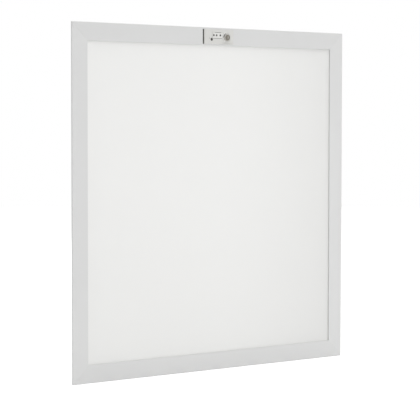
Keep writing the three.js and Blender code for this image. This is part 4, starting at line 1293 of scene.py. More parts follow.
@dataclass
class SensorModule:
    """The presence sensor in the top rail's window, with the box behind it.

    Attributes:
        port_xs: The three ports' places.
        port: Port radius.
        button: The button's place and radius.
        lens: The lens's place and radius.
        well: Radius of the lens's well.
        rim: Outer radius of the raised rim round it.
        rim_proud: How far the rim stands out.
        groove: Width of a cut line.
        slot: Where the curved slot starts and ends, in degrees round the lens.
        slot_wide: How wide it is at its middle.
    """

    port_xs: tuple[float, float, float] = (-3.7 * MM, 2.5 * MM, 10.7 * MM)
    port: float = 1.7 * MM
    button: tuple[float, float, float] = (-8.3 * MM, 277.2 * MM, 2.0 * MM)
    lens: tuple[float, float, float] = (24.6 * MM, 281.0 * MM, 5.3 * MM)
    well: float = 7.6 * MM
    rim: float = 9.2 * MM
    rim_proud: float = 0.5 * MM
    groove: float = 0.62 * MM
    slot: tuple[float, float] = (96.0, 206.0)
    slot_wide: float = 1.75 * MM

    def build(self, bench: Bench) -> None:
        """Makes every piece of the sensor.

        Args:
            bench: Where they go.
        """
        bench.piece("sensor_fascia", self.fascia(bench), SENSOR_WHITE)
        bench.piece("port_strip", self.strip(bench), STRIP_WHITE)
        bench.keep("sensor_box", DARK_PLASTIC, Edge(0.2 * MM, 2))
        bench.piece("sensor_box_cover", self.cover(bench), DARK_PLASTIC, Edge(0.15 * MM, 2))
        for node in ("status_light_pipe", "remote_receiver_window", "daylight_window"):
            bench.piece(node, self.light_pipe(bench, node), SMOKED)
        bench.piece("pairing_button", self.push_button(bench), BUTTON_DARK)
        bench.keep("button_switch", DARK_PLASTIC)
        bench.piece("sensor_lens", self.motion_lens(bench), PAINTED_LIGHT_LENS)
        bench.piece("motion_detector", self.detector(bench), NICKEL_CAN)
        bench.keep("sensor_board", BOARD_GREEN, Edge(0.12 * MM, 2))
        for side, way in (("left", -1.0), ("right", 1.0)):
            node = f"spring_clip_{side}"
            bench.piece(node, self.spring_clip(bench, node, way), SPRING_STEEL)

    def hole(self, x: float, z: float, radius: float, y0: float, y1: float) -> Surface:
        """A round cutter along Y."""
        return turned([(0, y0), (radius, y0), (radius, y1), (0, y1)], (x, z), Axis.Y, 48)

    def line(self, x0: float, x1: float, z: float, deep: float) -> Surface:
        """A cutter for an engraved line along X, from in front of the face to a depth."""
        half = self.groove / 2
        return slab((x0, -2 * MM, z - half), (x1, deep, z + half), Axis.Y, half * 0.9, 0.05 * MM, 3)

    def fascia(self, bench: Bench) -> bpy.types.Mesh:
        """The face plate: a rim round the lens's well, a pocket for the strip, ports and lines.

        Args:
            bench: Gives its place.

        Returns:
            The mesh.
        """
        low, high = bench.span("sensor_fascia")
        plate = slab((low[0], 0, low[2]), high, Axis.Y, 0.6 * MM, 0.15 * MM)
        lens_x, lens_z, _ = self.lens
        rim = soften([(0, high[1] - 0.3 * MM), (self.rim, high[1] - 0.3 * MM), (self.rim, -self.rim_proud),
                      (0, -self.rim_proud)], (0, 0.05 * MM, 0.35 * MM, 0), 4, closed=False)
        ring = turned(rim, (lens_x, lens_z), Axis.Y, 96)
        strip_low, strip_high = bench.span("port_strip")
        side = 0.5 * MM
        pocket = slab((strip_low[0] - side, -2 * MM, strip_low[2] - side),
                      (strip_high[0] + side, 0.9 * MM, strip_high[2] + side), Axis.Y, 0.5 * MM, 0.05 * MM)
        cuts = [pocket]
        cuts.append(self.hole(self.button[0], self.button[1], self.button[2] + 0.65 * MM, -3 * MM, 3 * MM))
        cuts += [self.hole(x, self.port_z(bench), self.port, -3 * MM, 3 * MM) for x in self.port_xs]
        deep = 2 * MM
        cuts += [self.line(-1 * MM, 13 * MM, strip_high[2] + 0.28 * MM, deep),
                 self.line(-5.2 * MM, 14.8 * MM, strip_low[2] - 0.28 * MM, deep),
                 self.line(-14 * MM, -11.2 * MM, 279.2 * MM, deep),
                 self.line(10 * MM, 32 * MM, 271.4 * MM, 0.9 * MM)]
        well = [self.hole(lens_x, lens_z, self.well, -3 * MM, 0.4 * MM),
                self.hole(lens_x, lens_z, self.lens[2] + 0.25 * MM, -3 * MM, 3 * MM), self.crescent()]
        return carved("fascia", plate, (Step.CUT, cuts), (Step.JOIN, [ring]), (Step.CUT, well))

    def crescent(self) -> Surface:
        """A cutter for the curved slot in the well's floor, up and to the left of the lens.

        Its outer edge is an arc of the well's radius, and its inner edge comes in from that by a
        sine of the share along it, so that both ends are points.

        Returns:
            The closed cutter.
        """
        share = np.linspace(0.0, 1.0, 25)
        angle = np.radians(self.slot[0] + (self.slot[1] - self.slot[0]) * share)
        outer = np.full(25, self.well - 0.1 * MM)
        inner = outer - 0.15 * MM - self.slot_wide * np.sin(math.pi * share)
        radius = np.concatenate([outer, inner[::-1]])
        around = np.concatenate([angle, angle[::-1]])
        x, z = self.lens[:2]
        section = np.stack([x + radius * np.cos(around), z + radius * np.sin(around)], -1)
        return loft(np.stack([placed(section, y, Axis.Y) for y in (-2 * MM, 3 * MM)]))

    def port_z(self, bench: Bench) -> float:
        """The height that the ports share."""
        low, high = bench.span("status_light_pipe")
        return float(low[2] + high[2]) / 2

    def strip(self, bench: Bench) -> bpy.types.Mesh:
        """The thin strip round the ports, cleared round the lens's rim and the button.

        Args:
            bench: Gives its place.

        Returns:
            The mesh.
        """
        low, high = bench.span("port_strip")
        plate = slab(low, high, Axis.Y, 0.5 * MM, 0.08 * MM)
        cuts = [self.hole(self.lens[0], self.lens[1], self.rim + 0.3 * MM, -3 * MM, 3 * MM),
                self.hole(self.button[0], self.button[1], self.button[2] + 0.8 * MM, -3 * MM, 3 * MM)]
        cuts += [self.hole(x, self.port_z(bench), self.port, -3 * MM, 3 * MM) for x in self.port_xs]
        return carved("strip", plate, (Step.CUT, cuts))

    def cover(self, bench: Bench) -> bpy.types.Mesh:
        """The box's back: a plate with round corners, four vents and the lead's hole.

        Args:
            bench: Gives its place.

        Returns:
            The mesh.
        """
        low, high = bench.span("sensor_box_cover")
        plate = slab(low, high, Axis.Y, 1.2 * MM, 0.25 * MM)
        vents = [slab((x - 0.7 * MM, low[1] - MM, 277 * MM), (x + 0.7 * MM, high[1] + MM, 290 * MM),
                      Axis.Y, 0.65 * MM, 0.05 * MM) for x in np.array([-16.0, -11.5, -7.0, 24.0, 28.5]) * MM]
        hole = self.hole(10 * MM, 283.5 * MM, 1.9 * MM, low[1] - MM, high[1] + MM)
        return carved("cover", plate, (Step.CUT, [hole, *vents]))

    def light_pipe(self, bench: Bench, node: str) -> Surface:
        """A smoked pipe with a slightly domed front and a collar.

        Args:
            bench: Gives its place.
            node: The pipe's node.

        Returns:
            The closed pipe.
        """
        low, high = bench.span(node)
        head, bar, collar, front = 1.58 * MM, 1 * MM, 1.6 * MM, 0.02 * MM
        collar_front, collar_back = 2.3 * MM, 3.1 * MM
        profile = [(0, front), (head, front + 0.15 * MM), (head, 1.1 * MM), (bar, 1.25 * MM),
                   (bar, collar_front), (collar, collar_front), (collar, collar_back), (bar, collar_back),
                   (bar, high[1]), (0, high[1])]
        section = soften(profile, (0, 0.12 * MM, 0.08 * MM, 0.05 * MM, 0.05 * MM, 0.1 * MM, 0.1 * MM,
                                   0.05 * MM, 0.1 * MM, 0), 3, closed=False)
        return turned(section, ((low[0] + high[0]) / 2, (low[2] + high[2]) / 2), Axis.Y, 40)

    def push_button(self, bench: Bench) -> Surface:
        """The button: a thin brim with a dished front, a stem, a stop collar and its foot.

        The brim stays clear of the box's front wall when the button is pressed right in.

        Args:
            bench: Gives its place.

        Returns:
            The closed button.
        """
        low, high = bench.span("pairing_button")
        stem, front = self.button[2], low[1] - 0.35 * MM
        brim, collar, foot = stem + 0.4 * MM, stem + 0.7 * MM, stem - 0.4 * MM
        back, collar_front, collar_back = front + 0.2 * MM, 2.3 * MM, 3.3 * MM
        profile = [(0, front + 0.25 * MM), (0.6 * brim, front + 0.12 * MM), (brim, front),
                   (brim, back - 0.04 * MM), (stem, back), (stem, collar_front), (collar, collar_front),
                   (collar, collar_back), (foot, collar_back), (foot, high[1]), (0, high[1])]
        section = soften(profile, (0, 0.4 * MM, 0.08 * MM, 0.03 * MM, 0.05 * MM, 0.1 * MM, 0.15 * MM,
                                   0.15 * MM, 0.1 * MM, 0.2 * MM, 0), 4, closed=False)
        return turned(section, self.button[:2], Axis.Y, 56)

    def motion_lens(self, bench: Bench) -> Surface:
        """The motion lens: a low dome on a round stem, with upright ribs across its face.

        Its face stands back from the dome's top by a tenth of the radius times the radius share
        squared, and the ribs add a cosine of the place across, fading towards the edge.

        Args:
            bench: Gives its place.

        Returns:
            The closed lens.
        """
        low, high = bench.span("sensor_lens")
        x0, z0, r = self.lens
        front = low[1] + 0.05 * MM
        angle = np.linspace(0.0, 2 * math.pi, 96, endpoint=False)
        share = np.linspace(0.0, 0.93, 20)[:, None]
        across = share * r * np.cos(angle)
        fade = np.clip((0.86 - share) / 0.12, 0.0, 1.0)
        ribs = 0.16 * MM * (1 - np.cos(2 * math.pi * across / (2.1 * MM))) / 2
        face_y = front + 0.1 * r * share**2 + ribs * fade
        flat = np.stack([across, share * r * np.sin(angle)], -1) + np.array([x0, z0])
        face = placed(flat, face_y, Axis.Y)
        side = np.array([(0.965 * r, front + 0.62 * MM), (0.99 * r, front + 0.85 * MM), (r, front + 1.2 * MM),
                         (r, high[1] - 1.2 * MM), (r + 0.2 * MM, high[1] - MM), (7.1 * MM, high[1] - MM),
                         (7.2 * MM, high[1] - 0.9 * MM), (7.2 * MM, high[1] - 0.1 * MM),
                         (7.1 * MM, high[1]), (r - 0.9 * MM, high[1]), (r - 0.9 * MM, front + 1.9 * MM),
                         (0.0, front + 1.3 * MM)])
        ring = side[:, :1, None] * np.stack([np.cos(angle), np.sin(angle)], -1)[None] + np.array([x0, z0])
        return loft(np.concatenate([face, placed(ring, side[:, 1][:, None], Axis.Y)]))

    def detector(self, bench: Bench) -> Surface:
        """The detector can: a plated cylinder with a rounded front and a flange at its foot.

        Args:
            bench: Gives its place.

        Returns:
            The closed can.
        """
        low, high = bench.span("motion_detector")
        r = (high[0] - low[0]) / 2
        profile = [(0, low[1]), (r - 0.5 * MM, low[1]), (r - 0.5 * MM, high[1] - 0.6 * MM),
                   (r, high[1] - 0.6 * MM), (r, high[1]), (0, high[1])]
        section = soften(profile, (0, 0.5 * MM, 0.1 * MM, 0.15 * MM, 0.15 * MM, 0), 4, closed=False)
        return turned(section, self.lens[:2], Axis.Y, 48)

    def spring_clip(self, bench: Bench, node: str, way: float) -> Surface:
        """A bent strip that leaves the box's wall and bears on the back of the rail.

        Args:
            bench: Gives its place.
            node: The clip's node.
            way: One for a clip to the right, and less one for a clip to the left.

        Returns:
            The closed strip.
        """
        low, high = bench.span(node)
        strip = 0.6 * MM
        wall = low[0] if way > 0 else high[0]
        reach = np.array([0.3, 0.3, 6.8, 9.6]) * MM
        deep = np.array([high[1], 8 * MM, low[1] + 0.35 * MM, low[1] + 1.95 * MM])
        chain = np.stack([wall + way * reach, deep, np.full(4, (low[2] + high[2]) / 2)], -1)
        path = soften(chain, 2.2 * MM, 8, closed=False)
        half = (high[2] - low[2]) / 2
        section = soften([(-strip / 2, -half), (strip / 2, -half), (strip / 2, half), (-strip / 2, half)],
                         0.2 * MM, 3)
        return swept(path, section, (0, 0, 1))


# ---------------------------------------------------------------- driver


@dataclass
class Driver:
    """The driver on the tray's back: its case, what is inside, the wiring bay and its lid.

    Attributes:
        case: Thickness of the case's walls.
        corner: The case's corner radius.
        edge: The radius of its back edge.
    """

    case: float = 1.5 * MM
    corner: float = 3.0 * MM
    edge: float = 1.3 * MM

    def build(self, bench: Bench) -> None:
        """Makes every piece of the driver.

        Args:
            bench: Where they go.
        """
        bench.keep("driver_base", DRIVER_WHITE, Edge(0.35 * MM, 3))
        bench.piece("driver_cover", self.cover(bench), DRIVER_WHITE, Edge(0.2 * MM, 2, math.radians(50)))
        bench.keep("driver_board", BOARD_GREEN, Edge(0.15 * MM, 2))
        bench.keep("driver_transformer", FERRITE, Edge(0.5 * MM, 3))
        bench.piece("driver_capacitor", self.capacitor(bench), CAN_SLEEVE)
        for number in (1, 2):
            Screw().build(bench, f"driver_screw_{number}")
        bench.piece("mains_terminal", self.terminal(bench), TERMINAL_GREY,
                    Edge(0.12 * MM, 2, math.radians(50)))
        for pole in ("live", "neutral", "earth"):
            node = f"release_button_{pole}"
            bench.piece(node, self.release(bench, node), RELEASE_ORANGE, Edge(0.08 * MM, 2, math.radians(50)))
        bench.piece("terminal_cover", self.lid(bench), DRIVER_WHITE, Edge(0.2 * MM, 2, math.radians(50)))
        bench.piece("hinge_pin", self.pin(bench), ZINC_STEEL)
        bench.piece("cable_gland", self.gland(bench), BLACK_RUBBER)

    def cover(self, bench: Bench) -> bpy.types.Mesh:
        """The cover: a deep shell with shallow grooves along its back and holes for both leads.

        Args:
            bench: Gives its place.

        Returns:
            The mesh.
        """
        low, high = bench.span("driver_cover")
        wall, back = self.case, high[1]
        section = [(wall + 4 * MM, back - wall), (wall, back - wall), (wall, low[1]), (0, low[1]), (0, back),
                   (self.edge + MM, back)]
        profile = soften(section, (0, 0.8 * MM, 0.2 * MM, 0.2 * MM, self.edge, 0), 5, closed=False)
        case = shell(low, high, profile, self.corner)
        middle = (low[2] + high[2]) / 2
        lines = [slab((low[0] + 8 * MM, back - 0.5 * MM, middle + dz - 0.8 * MM),
                      (high[0] - 8 * MM, back + MM, middle + dz + 0.8 * MM), Axis.Y, 0.75 * MM, 0.05 * MM)
                 for dz in np.array([-24, -20, 20, 24]) * MM]
        lead_y = 44.2 * MM
        dc_hole = turned([(0, high[0] - 4 * MM), (2.5 * MM, high[0] - 4 * MM), (2.5 * MM, high[0] + MM),
                          (0, high[0] + MM)], (lead_y, middle), Axis.X, 40)
        control = turned([(0, high[2] - 4 * MM), (1.9 * MM, high[2] - 4 * MM), (1.9 * MM, high[2] + MM),
                          (0, high[2] + MM)], (10 * MM, 37.8 * MM), Axis.Z, 40)
        return carved("driver_cover", case, (Step.CUT, [*lines, dc_hole, control]))

    def capacitor(self, bench: Bench) -> Surface:
        """A sleeved can lying along X, with a crimp near one end.

        Args:
            bench: Gives its place.

        Returns:
            The closed can.
        """
        low, high = bench.span("driver_capacitor")
        r = (high[1] - low[1]) / 2
        x0, x1 = low[0], high[0]
        profile = [(0, x0 + 0.4 * MM), (r - 1.2 * MM, x0 + 0.4 * MM), (r - 0.8 * MM, x0), (r, x0),
                   (r, x0 + 2 * MM), (r - 0.6 * MM, x0 + 2.8 * MM), (r, x0 + 3.6 * MM), (r, x1), (0, x1)]
        section = soften(profile, 0.35 * MM, 3, closed=False)
        return turned(section, ((low[1] + high[1]) / 2, (low[2] + high[2]) / 2), Axis.X, 48)

    def terminal(self, bench: Bench) -> bpy.types.Mesh:
        """The mains terminal: a block with a funnelled wire hole and a button's well for each pole.

        Args:
            bench: Gives its place.

        Returns:
            The mesh.
        """
        low, high = bench.span("mains_terminal")
        block = slab(low, high, Axis.Y, 0.8 * MM, 0.4 * MM)
        cuts = []
        for pole in ("live", "neutral", "earth"):
            first, last = bench.span(f"release_button_{pole}")
            z, gap = (first[2] + last[2]) / 2, 0.3 * MM
            funnel = [(0, low[0] - MM), (2.3 * MM, low[0] - MM), (2.3 * MM, low[0] + 0.2 * MM),
                      (1.7 * MM, low[0] + 1.2 * MM), (1.7 * MM, low[0] + 8 * MM), (0, low[0] + 8 * MM)]
            cuts.append(turned(funnel, (low[1] + 4 * MM, z), Axis.X, 40))
            cuts.append(slab((first[0] - gap, low[1] + 6.4 * MM, first[2] - gap),
                             (last[0] + gap, high[1] + MM, last[2] + gap), Axis.Y, 0.4 * MM, 0.05 * MM, 4))
        half, rounding = 0.25 * MM, 0.05 * MM
        seams = [slab((low[0] - MM, high[1] - 0.4 * MM, z - half), (high[0] + MM, high[1] + MM, z + half),
                      Axis.Y, rounding, rounding, 2) for z in (144 * MM, 156 * MM)]
        return carved("terminal", block, (Step.CUT, [*cuts, *seams]))

    def release(self, bench: Bench, node: str) -> bpy.types.Mesh:
        """A release button with a screwdriver slot across its top.

        Args:
            bench: Gives its place.
            node: The button's node.

        Returns:
            The mesh.
        """
        low, high = bench.span(node)
        body = slab(low, high, Axis.Y, 0.4 * MM, 0.25 * MM, 4)
        z = (low[2] + high[2]) / 2
        slot = slab((low[0] + 0.7 * MM, high[1] - 0.7 * MM, z - 0.4 * MM),
                    (high[0] - 0.7 * MM, high[1] + MM, z + 0.4 * MM), Axis.Y, 0.3 * MM, 0.05 * MM, 3)
        return carved(node, body, (Step.CUT, [slot]))

    def lid(self, bench: Bench) -> bpy.types.Mesh:
        """The bay's lid: a plate with finger ribs, a leaf and barrel at the hinge, and a tongue.

        Args:
            bench: Gives its place.

        Returns:
            The mesh.
        """
        low, high = bench.span("terminal_cover")
        pin_low, pin_high = bench.span("hinge_pin")
        hinge_y, hinge_z = (pin_low[1] + pin_high[1]) / 2, (pin_low[2] + pin_high[2]) / 2
        under, back, top = hinge_y - 0.1 * MM, 55.8 * MM, hinge_z - 3.4 * MM
        plate = slab((low[0], under, low[2]), (high[0], back, top - 2.5 * MM), Axis.Y, 2 * MM, 0.6 * MM)
        k0, k1 = low[0] + 8.3 * MM, high[0] - 8 * MM
        leaf = slab((k0, under + 0.05 * MM, top - 6 * MM), (k1, back - 0.05 * MM, hinge_z), Axis.Y, 0.4 * MM,
                    0.2 * MM)
        barrel = turned(soften([(0, k0), (2.8 * MM, k0), (2.8 * MM, k1), (0, k1)], 0.3 * MM, 3, closed=False),
                        (hinge_y, hinge_z), Axis.X, 48)
        tongue = slab((low[0] + 22 * MM, under - 4 * MM, low[2] + 2.5 * MM),
                      (high[0] - 21.7 * MM, under + 0.4 * MM, low[2] + 3.7 * MM), Axis.X, 0.3 * MM, 0.2 * MM)
        centre = (low[0] + high[0]) / 2
        half = 11 * MM
        grip = [slab((centre - half, back - 0.3 * MM, z), (centre + half, back + 0.45 * MM, z + 1.0 * MM),
                     Axis.Y, 0.45 * MM, 0.3 * MM) for z in low[2] + np.array([4, 6.4, 8.8, 11.2]) * MM]
        bore = turned([(0, k0 - MM), (1.3 * MM, k0 - MM), (1.3 * MM, k1 + MM), (0, k1 + MM)],
                      (hinge_y, hinge_z), Axis.X, 40)
        return carved("lid", plate, (Step.JOIN, [leaf, barrel, tongue, *grip]), (Step.CUT, [bore]))

    def pin(self, bench: Bench) -> Surface:
        """The hinge pin: a plain rod with rounded ends."""
        low, high = bench.span("hinge_pin")
        r = (high[1] - low[1]) / 2
        section = soften([(0, low[0]), (r, low[0]), (r, high[0]), (0, high[0])], 0.4 * MM, 4, closed=False)
        return turned(section, ((low[1] + high[1]) / 2, (low[2] + high[2]) / 2), Axis.X, 32)

    def gland(self, bench: Bench) -> Surface:
        """The cable gland: a fluted collar, a neck through the case's wall and a nut inside.

        Args:
            bench: Gives its place.

        Returns:
            The closed gland, with its bore open.
        """
        low, high = bench.span("cable_gland")
        r, bore, neck = (high[1] - low[1]) / 2, 4.1 * MM, 5.4 * MM
        x0, x1 = low[0], high[0]
        wall0, wall1 = -125.3 * MM, -123.2 * MM
        taper = 1.6 * MM
        profile = [(bore, x0), (r - taper, x0), (r, x0 + taper), (r, wall0), (neck, wall0), (neck, wall1),
                   (r, wall1), (r, x1), (bore, x1)]
        radii = np.array([0.5, 0.5, 0.5, 0.3, 0.1, 0.1, 0.3, 0.4, 0.4]) * MM
        section = soften(profile, radii, 4)
        return turned(section, ((low[1] + high[1]) / 2, (low[2] + high[2]) / 2), Axis.X, 144, tube=True,
                      flutes=18, flute_depth=0.45 * MM, flute_from=5.6 * MM)


# ---------------------------------------------------------------- leads and safety loops


@dataclass
class Leads:
    """The output lead, the sensor's lead, their clips and the grommet.

    Attributes:
        dc: Radius of the output lead.
        control: Radius of the sensor's lead.
    """

    dc: float = 2.2 * MM
    control: float = 1.6 * MM

    def build(self, bench: Bench) -> None:
        """Makes the leads, the clips and the grommet.

        Args:
            bench: Where they go.
        """
        dc_route = np.array([
            (125.3, 44.2, 150), (137, 43.2, 150), (153, 36.3, 150), (169, 34.3, 150), (177, 34.3, 150),
            (185, 34.3, 150), (207, 36.3, 146), (227.8, 42.3, 136), (238.8, 47.3, 122), (241.2, 47.6, 110),
            (241.8, 44.4, 101.6), (241.8, 38.8, 100), (241.8, 30.8, 100)]) * MM
        control_route = np.array([
            (10, 18, 283.5), (10, 26, 283.5), (10, 35.5, 275.5), (10, 37.5, 261.5), (10, 34.3, 235.5),
            (10, 33.7, 227.5), (10, 33.7, 221.5), (10, 33.7, 215.5), (10, 37.2, 194), (10, 37.8, 182.3)]) * MM
        bench.piece("dc_lead", swept(smooth_route(dc_route, 10), circle(self.dc, 24), (1, 1, 1)), SHEATH)
        control = swept(smooth_route(control_route, 10), circle(self.control, 24), (1, 0, 0))
        bench.piece("sensor_lead", control, SHEATH)
        clips = (("dc_lead_clip", Axis.X, self.dc), ("sensor_lead_clip", Axis.Z, self.control))
        for node, along, radius in clips:
            bench.piece(node, self.clip(bench, node, along, radius), CLIP_NYLON, Edge(0.35 * MM, 3))
        bench.piece("lead_grommet", self.grommet(bench), BLACK_RUBBER)

    def clip(self, bench: Bench, node: str, axis: Axis, lead: float) -> Surface:
        """A stuck-on clip: two feet and an arch over the lead, the section carried along it.

        Args:
            bench: Gives its place.
            node: The clip's node.
            axis: The axis that the lead runs along.
            lead: The lead's radius.

        Returns:
            The closed clip.
        """
        low, high = bench.span(node)
        across = 2 if axis is Axis.X else 0
        centre, half = (low[across] + high[across]) / 2, (high[across] - low[across]) / 2
        base, top = low[1], high[1]
        bore, foot = lead + 0.3 * MM, 1.6 * MM
        lead_y = top - 1.2 * MM - bore
        arch = bore + 1.2 * MM
        outer = np.linspace(0.0, math.pi, 17)
        inner = outer[::-1]
        over = np.stack([arch * np.cos(outer), lead_y + arch * np.sin(outer)], -1)
        round_lead = np.stack([bore * np.cos(inner), lead_y + bore * np.sin(inner)], -1)
        section = np.vstack([[(half, base), (half, base + foot), (arch + 0.3 * MM, base + foot)], over,
                             [(-arch - 0.3 * MM, base + foot), (-half, base + foot), (-half, base),
                              (-bore, base)], round_lead, [(bore, base)]])
        ends = np.array([low[axis.value], high[axis.value]])
        rings = np.empty((2, len(section), 3))
        rings[..., across] = centre + section[None, :, 0]
        rings[..., 1] = section[None, :, 1]
        rings[..., axis.value] = ends[:, None]
        return loft(rings)

    def grommet(self, bench: Bench) -> Surface:
        """The rubber grommet: a soft collar on a neck, with the lead's bore through it.

        Args:
            bench: Gives its place.

        Returns:
            The closed grommet.
        """
        low, high = bench.span("lead_grommet")
        r, bore, neck = (high[0] - low[0]) / 2, 2.5 * MM, 4.0 * MM
        back = 31.8 * MM
        profile = [(bore, low[1]), (neck, low[1]), (neck, back), (r, back), (r, high[1]), (bore, high[1])]
        section = soften(profile, np.array([0.2, 0.2, 0.1, 0.5, 0.9, 0.6]) * MM, 5)
        return turned(section, ((low[0] + high[0]) / 2, (low[2] + high[2]) / 2), Axis.Y, 48, tube=True)


@dataclass
class SafetyLoops:
    """Wire loops for safety wires, each in a riveted bracket on the tray's back.

    Attributes:
        wire: Radius of the wire.
        leg: Length of a loop.
        half: Half its width.
        ear: Half the clear width of the bracket.
        strip: Thickness of the bracket.
        round: Corner radius of the ears.
    """

    wire: float = 1.2 * MM
    leg: float = 28 * MM
    half: float = 9 * MM
    ear: float = 11 * MM
    strip: float = 1.2 * MM
    round: float = 4.2 * MM

    def build(self, bench: Bench) -> None:
        """Makes both loops and both brackets.

        Args:
            bench: Where they go.
        """
        for place in ("upper", "lower"):
            low, high = bench.span(f"loop_bracket_{place}")
            middle = (low + high) / 2
            pivot = np.array([middle[0], 37.2 * MM, middle[2]])
            bench.piece(f"safety_loop_{place}", self.loop(pivot), WIRE_STEEL)
            bench.piece(f"loop_bracket_{place}", self.bracket(low, high, pivot), ZINC_STEEL,
                        Edge(0.18 * MM, 2, math.radians(50)))

    def loop(self, pivot: np.ndarray) -> Surface:
        """A wire bent into a loop, its two ends turned out through the ears.

        Args:
            pivot: The middle of the line that it swings on.

        Returns:
            The closed wire.
        """
        end = self.ear + self.strip + 1.4 * MM
        corners = np.array([(-end, 0), (-self.half, 0), (-self.half, -self.leg), (self.half, -self.leg),
                            (self.half, 0), (end, 0)])
        radii = np.array([0, 1.6, 4, 4, 1.6, 0]) * MM
        flat = soften(corners, radii, 12, closed=False)
        tip = np.array([0.35 * self.wire, 0.0])
        flat = np.vstack([flat[:1], flat[:1] + tip, flat[1:-1], flat[-1:] - tip, flat[-1:]])
        path = np.stack([flat[:, 0], np.zeros(len(flat)), flat[:, 1]], -1) + pivot
        scale = np.ones(len(path))
        scale[[0, -1]] = 0.6
        return swept(path, circle(self.wire, 24), (0, 1, 0), scale)

    def bracket(self, low: np.ndarray, high: np.ndarray, pivot: np.ndarray) -> bpy.types.Mesh:
        """A strip bent into a channel, with round-topped ears, pin holes and two rivets.

        Args:
            low: Its lowest corner.
            high: Its highest corner.
            pivot: The middle of the line through its pin holes.

        Returns:
            The mesh.
        """
        x0, x1, y0, y1, strip = low[0], high[0], low[1], high[1], self.strip
        channel = [(x0, y1), (x0, y0), (x1, y0), (x1, y1), (x1 - strip, y1), (x1 - strip, y0 + strip),
                   (x0 + strip, y0 + strip), (x0 + strip, y1)]
        radii = np.array([0.3, 1.6, 1.6, 0.3, 0.3, 0.5, 0.5, 0.3]) * MM
        section = soften(channel, radii, 5)
        rings = np.stack([placed(section, z, Axis.Z) for z in (low[2], high[2])])
        hole = turned([(0, x0 - MM), (self.wire + 0.3 * MM, x0 - MM), (self.wire + 0.3 * MM, x1 + MM),
                       (0, x1 + MM)], (pivot[1], pivot[2]), Axis.X, 40)
        trims = [self.corner_cutter(x0, x1, y1, z, way) for z, way in ((low[2], 1.0), (high[2], -1.0))]
        rivets = []
        for x in (pivot[0] - 5 * MM, pivot[0] + 5 * MM):
            dome = soften([(0, y0 + 0.2 * MM), (2.0 * MM, y0 + 0.2 * MM), (2.0 * MM, y0 + strip + 0.5 * MM),
                           (1.2 * MM, y0 + strip + 1.1 * MM), (0, y0 + strip + 1.2 * MM)], 0.4 * MM, 4,
                          closed=False)
            rivets.append(turned(dome, (x, pivot[2]), Axis.Y, 40))
        return carved("bracket", loft(rings), (Step.JOIN, rivets), (Step.CUT, [hole, *trims]))

    def corner_cutter(self, x0: float, x1: float, top: float, z: float, way: float) -> Surface:
        """A bar along X whose section is a square corner less a quarter disc.

        Args:
            x0: Where the bracket starts along X.
            x1: Where it ends.
            top: The ears' top, along Y.
            z: The ears' edge.
            way: One if the bracket lies above the edge, and less one if below.

        Returns:
            The closed cutter.
        """
        angle = np.linspace(0.0, math.pi / 2, 9)
        arc = np.stack([top - self.round + self.round * np.cos(angle),
                        z + way * self.round * (1 - np.sin(angle))], -1)
        outer = [(top - self.round, z - way * MM), (top + MM, z - way * MM), (top + MM, z + way * self.round)]
        section = np.vstack([arc, outer])
        return loft(np.stack([placed(section, x, Axis.X) for x in (x0 - MM, x1 + MM)]))


# ---------------------------------------------------------------- studio


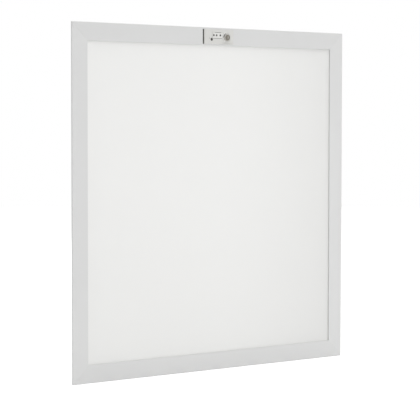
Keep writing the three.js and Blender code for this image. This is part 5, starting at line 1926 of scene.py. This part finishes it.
@dataclass
class Studio:
    """A white floor, soft light and the camera.

    Attributes:
        azimuth: Where the camera stands, from straight in front, in degrees.
        elevation: How far above the panel's middle, in degrees.
        roll: How far it is turned about its view, in degrees.
        away: How far back it stands.
        shift: The panel's middle, right of and above the view's middle.
        lens: The focal length, in millimetres on a 36 mm sensor.
        sky: How bright the light from all round is.
        glow: How much is added to the floor where it is seen, so that it stays white to its far edge.
    """

    azimuth: float = -38.2
    elevation: float = 2.831
    roll: float = 0.066
    away: float = 2.962
    shift: tuple[float, float] = (9.34 * MM, 18.43 * MM)
    lens: float = 145.97
    sky: float = 0.60
    glow: float = 0.55

    def build(self) -> None:
        """Sets the floor, the lights and the camera."""
        self.floor()
        self.world()
        self.lights()
        self.camera()

    def floor(self) -> None:
        """A wide white disc under the panel, faintly mottled."""
        angle = np.linspace(0.0, 2 * math.pi, 96, endpoint=False)
        level = float(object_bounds()[0][2]) - 0.4 * MM
        ring = np.stack([np.cos(angle), np.sin(angle)], -1)
        radii = np.array([6.0, 6.0, 0.01])[:, None, None]
        rings = placed(radii * ring[None], np.array([level - 0.02, level, level])[:, None], Axis.Z)
        floor = bpy.data.objects.new("floor", as_mesh("floor", loft(rings)))
        bpy.context.scene.collection.objects.link(floor)
        paper = Finish("floor_paper", (0.93, 0.93, 0.93), 0.8, drift=0.004, patch=0.6)
        nodes = Nodes(paper.name)
        paper.paint(nodes)
        seen = nodes.tree.nodes.new("ShaderNodeLightPath").outputs["Is Camera Ray"]
        nodes.set(Emission_Color=(1.0, 1.0, 1.0, 1.0))
        nodes.link(nodes.math("MULTIPLY", seen, self.glow), "Emission Strength")
        floor.data.materials.append(nodes.material)
        floor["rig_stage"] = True

    def world(self) -> None:
        """White all round: full white behind the panel, and a softer white as light."""
        world = bpy.data.worlds.new("studio")
        bpy.context.scene.world = world
        world.use_nodes = True
        nodes, links = world.node_tree.nodes, world.node_tree.links
        nodes.clear()
        seen, sent = nodes.new("ShaderNodeBackground"), nodes.new("ShaderNodeBackground")
        seen.inputs["Strength"].default_value = 1.0
        sent.inputs["Strength"].default_value = self.sky
        for background in (seen, sent):
            background.inputs["Color"].default_value = (1.0, 1.0, 1.0, 1.0)
        ray, mix = nodes.new("ShaderNodeLightPath"), nodes.new("ShaderNodeMixShader")
        output = nodes.new("ShaderNodeOutputWorld")
        links.new(ray.outputs["Is Camera Ray"], mix.inputs[0])
        links.new(sent.outputs[0], mix.inputs[1])
        links.new(seen.outputs[0], mix.inputs[2])
        links.new(mix.outputs[0], output.inputs["Surface"])

    def lamp(self, name: str, place: Sequence[float], aim: Sequence[float], size: float, power: float) -> Any:
        """A square soft light.

        Args:
            name: Its name.
            place: Where it stands.
            aim: What it points at.
            size: Its side.
            power: Its power in watts.

        Returns:
            The light's object.
        """
        data = bpy.data.lights.new(name, "AREA")
        data.energy, data.size = power, size
        lamp = bpy.data.objects.new(name, data)
        bpy.context.scene.collection.objects.link(lamp)
        lamp.location = place
        lamp.rotation_euler = (Vector(aim) - Vector(place)).to_track_quat("-Z", "Y").to_euler()
        return lamp

    def lights(self) -> None:
        """One large light over the panel, one in front on the left, and a soft one behind."""
        self.lamp("over", (0.2, -0.4, 2.6), (0.0, 0.0, -0.3), 3.0, 48.0)
        self.lamp("front", (1.6, -2.6, -0.1), (0.1, 0.0, -0.1), 1.4, 12.0)
        self.lamp("behind", (2.4, 2.4, 1.0), (0.0, 0.0, 0.0), 1.2, 9.0)

    def camera(self) -> None:
        """Stands the camera back from the panel's middle, moved so that the middle sits off centre."""
        azimuth, elevation, roll = (math.radians(a) for a in (self.azimuth, self.elevation, self.roll))
        back = Vector((math.sin(azimuth) * math.cos(elevation), -math.cos(azimuth) * math.cos(elevation),
                       math.sin(elevation)))
        level = Vector((math.cos(azimuth), math.sin(azimuth), 0.0))
        raised = back.cross(level)
        right = level * math.cos(roll) + raised * math.sin(roll)
        up = raised * math.cos(roll) - level * math.sin(roll)
        data = bpy.data.cameras.new("camera")
        data.lens, data.sensor_width = self.lens, 36.0
        data.clip_start, data.clip_end = 0.05, 60.0
        camera = bpy.data.objects.new("camera", data)
        bpy.context.scene.collection.objects.link(camera)
        place = back * self.away - right * self.shift[0] - up * self.shift[1]
        turn = Matrix((right, up, back)).transposed().to_4x4()
        camera.matrix_world = Matrix.Translation(place) @ turn
        bpy.context.scene.camera = camera


def corners(box: tuple[Vector, Vector]) -> list[list[float]]:
    """A box's two corners as plain numbers."""
    return [list(box[0]), list(box[1])]


def main() -> None:
    """Builds the panel piece by piece, then the studio."""
    logging.basicConfig(level=logging.INFO, format="%(name)s %(message)s")
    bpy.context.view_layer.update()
    bpy.context.scene.view_settings.view_transform = "Standard"
    bench = Bench(frame["record"])
    for part in (RailFrame(), LightBody(), SensorModule(), Driver(), Leads(), SafetyLoops()):
        log.info("building %s", type(part).__name__)
        part.build(bench)
    Studio().build()


if __name__ == "__main__":
    main()
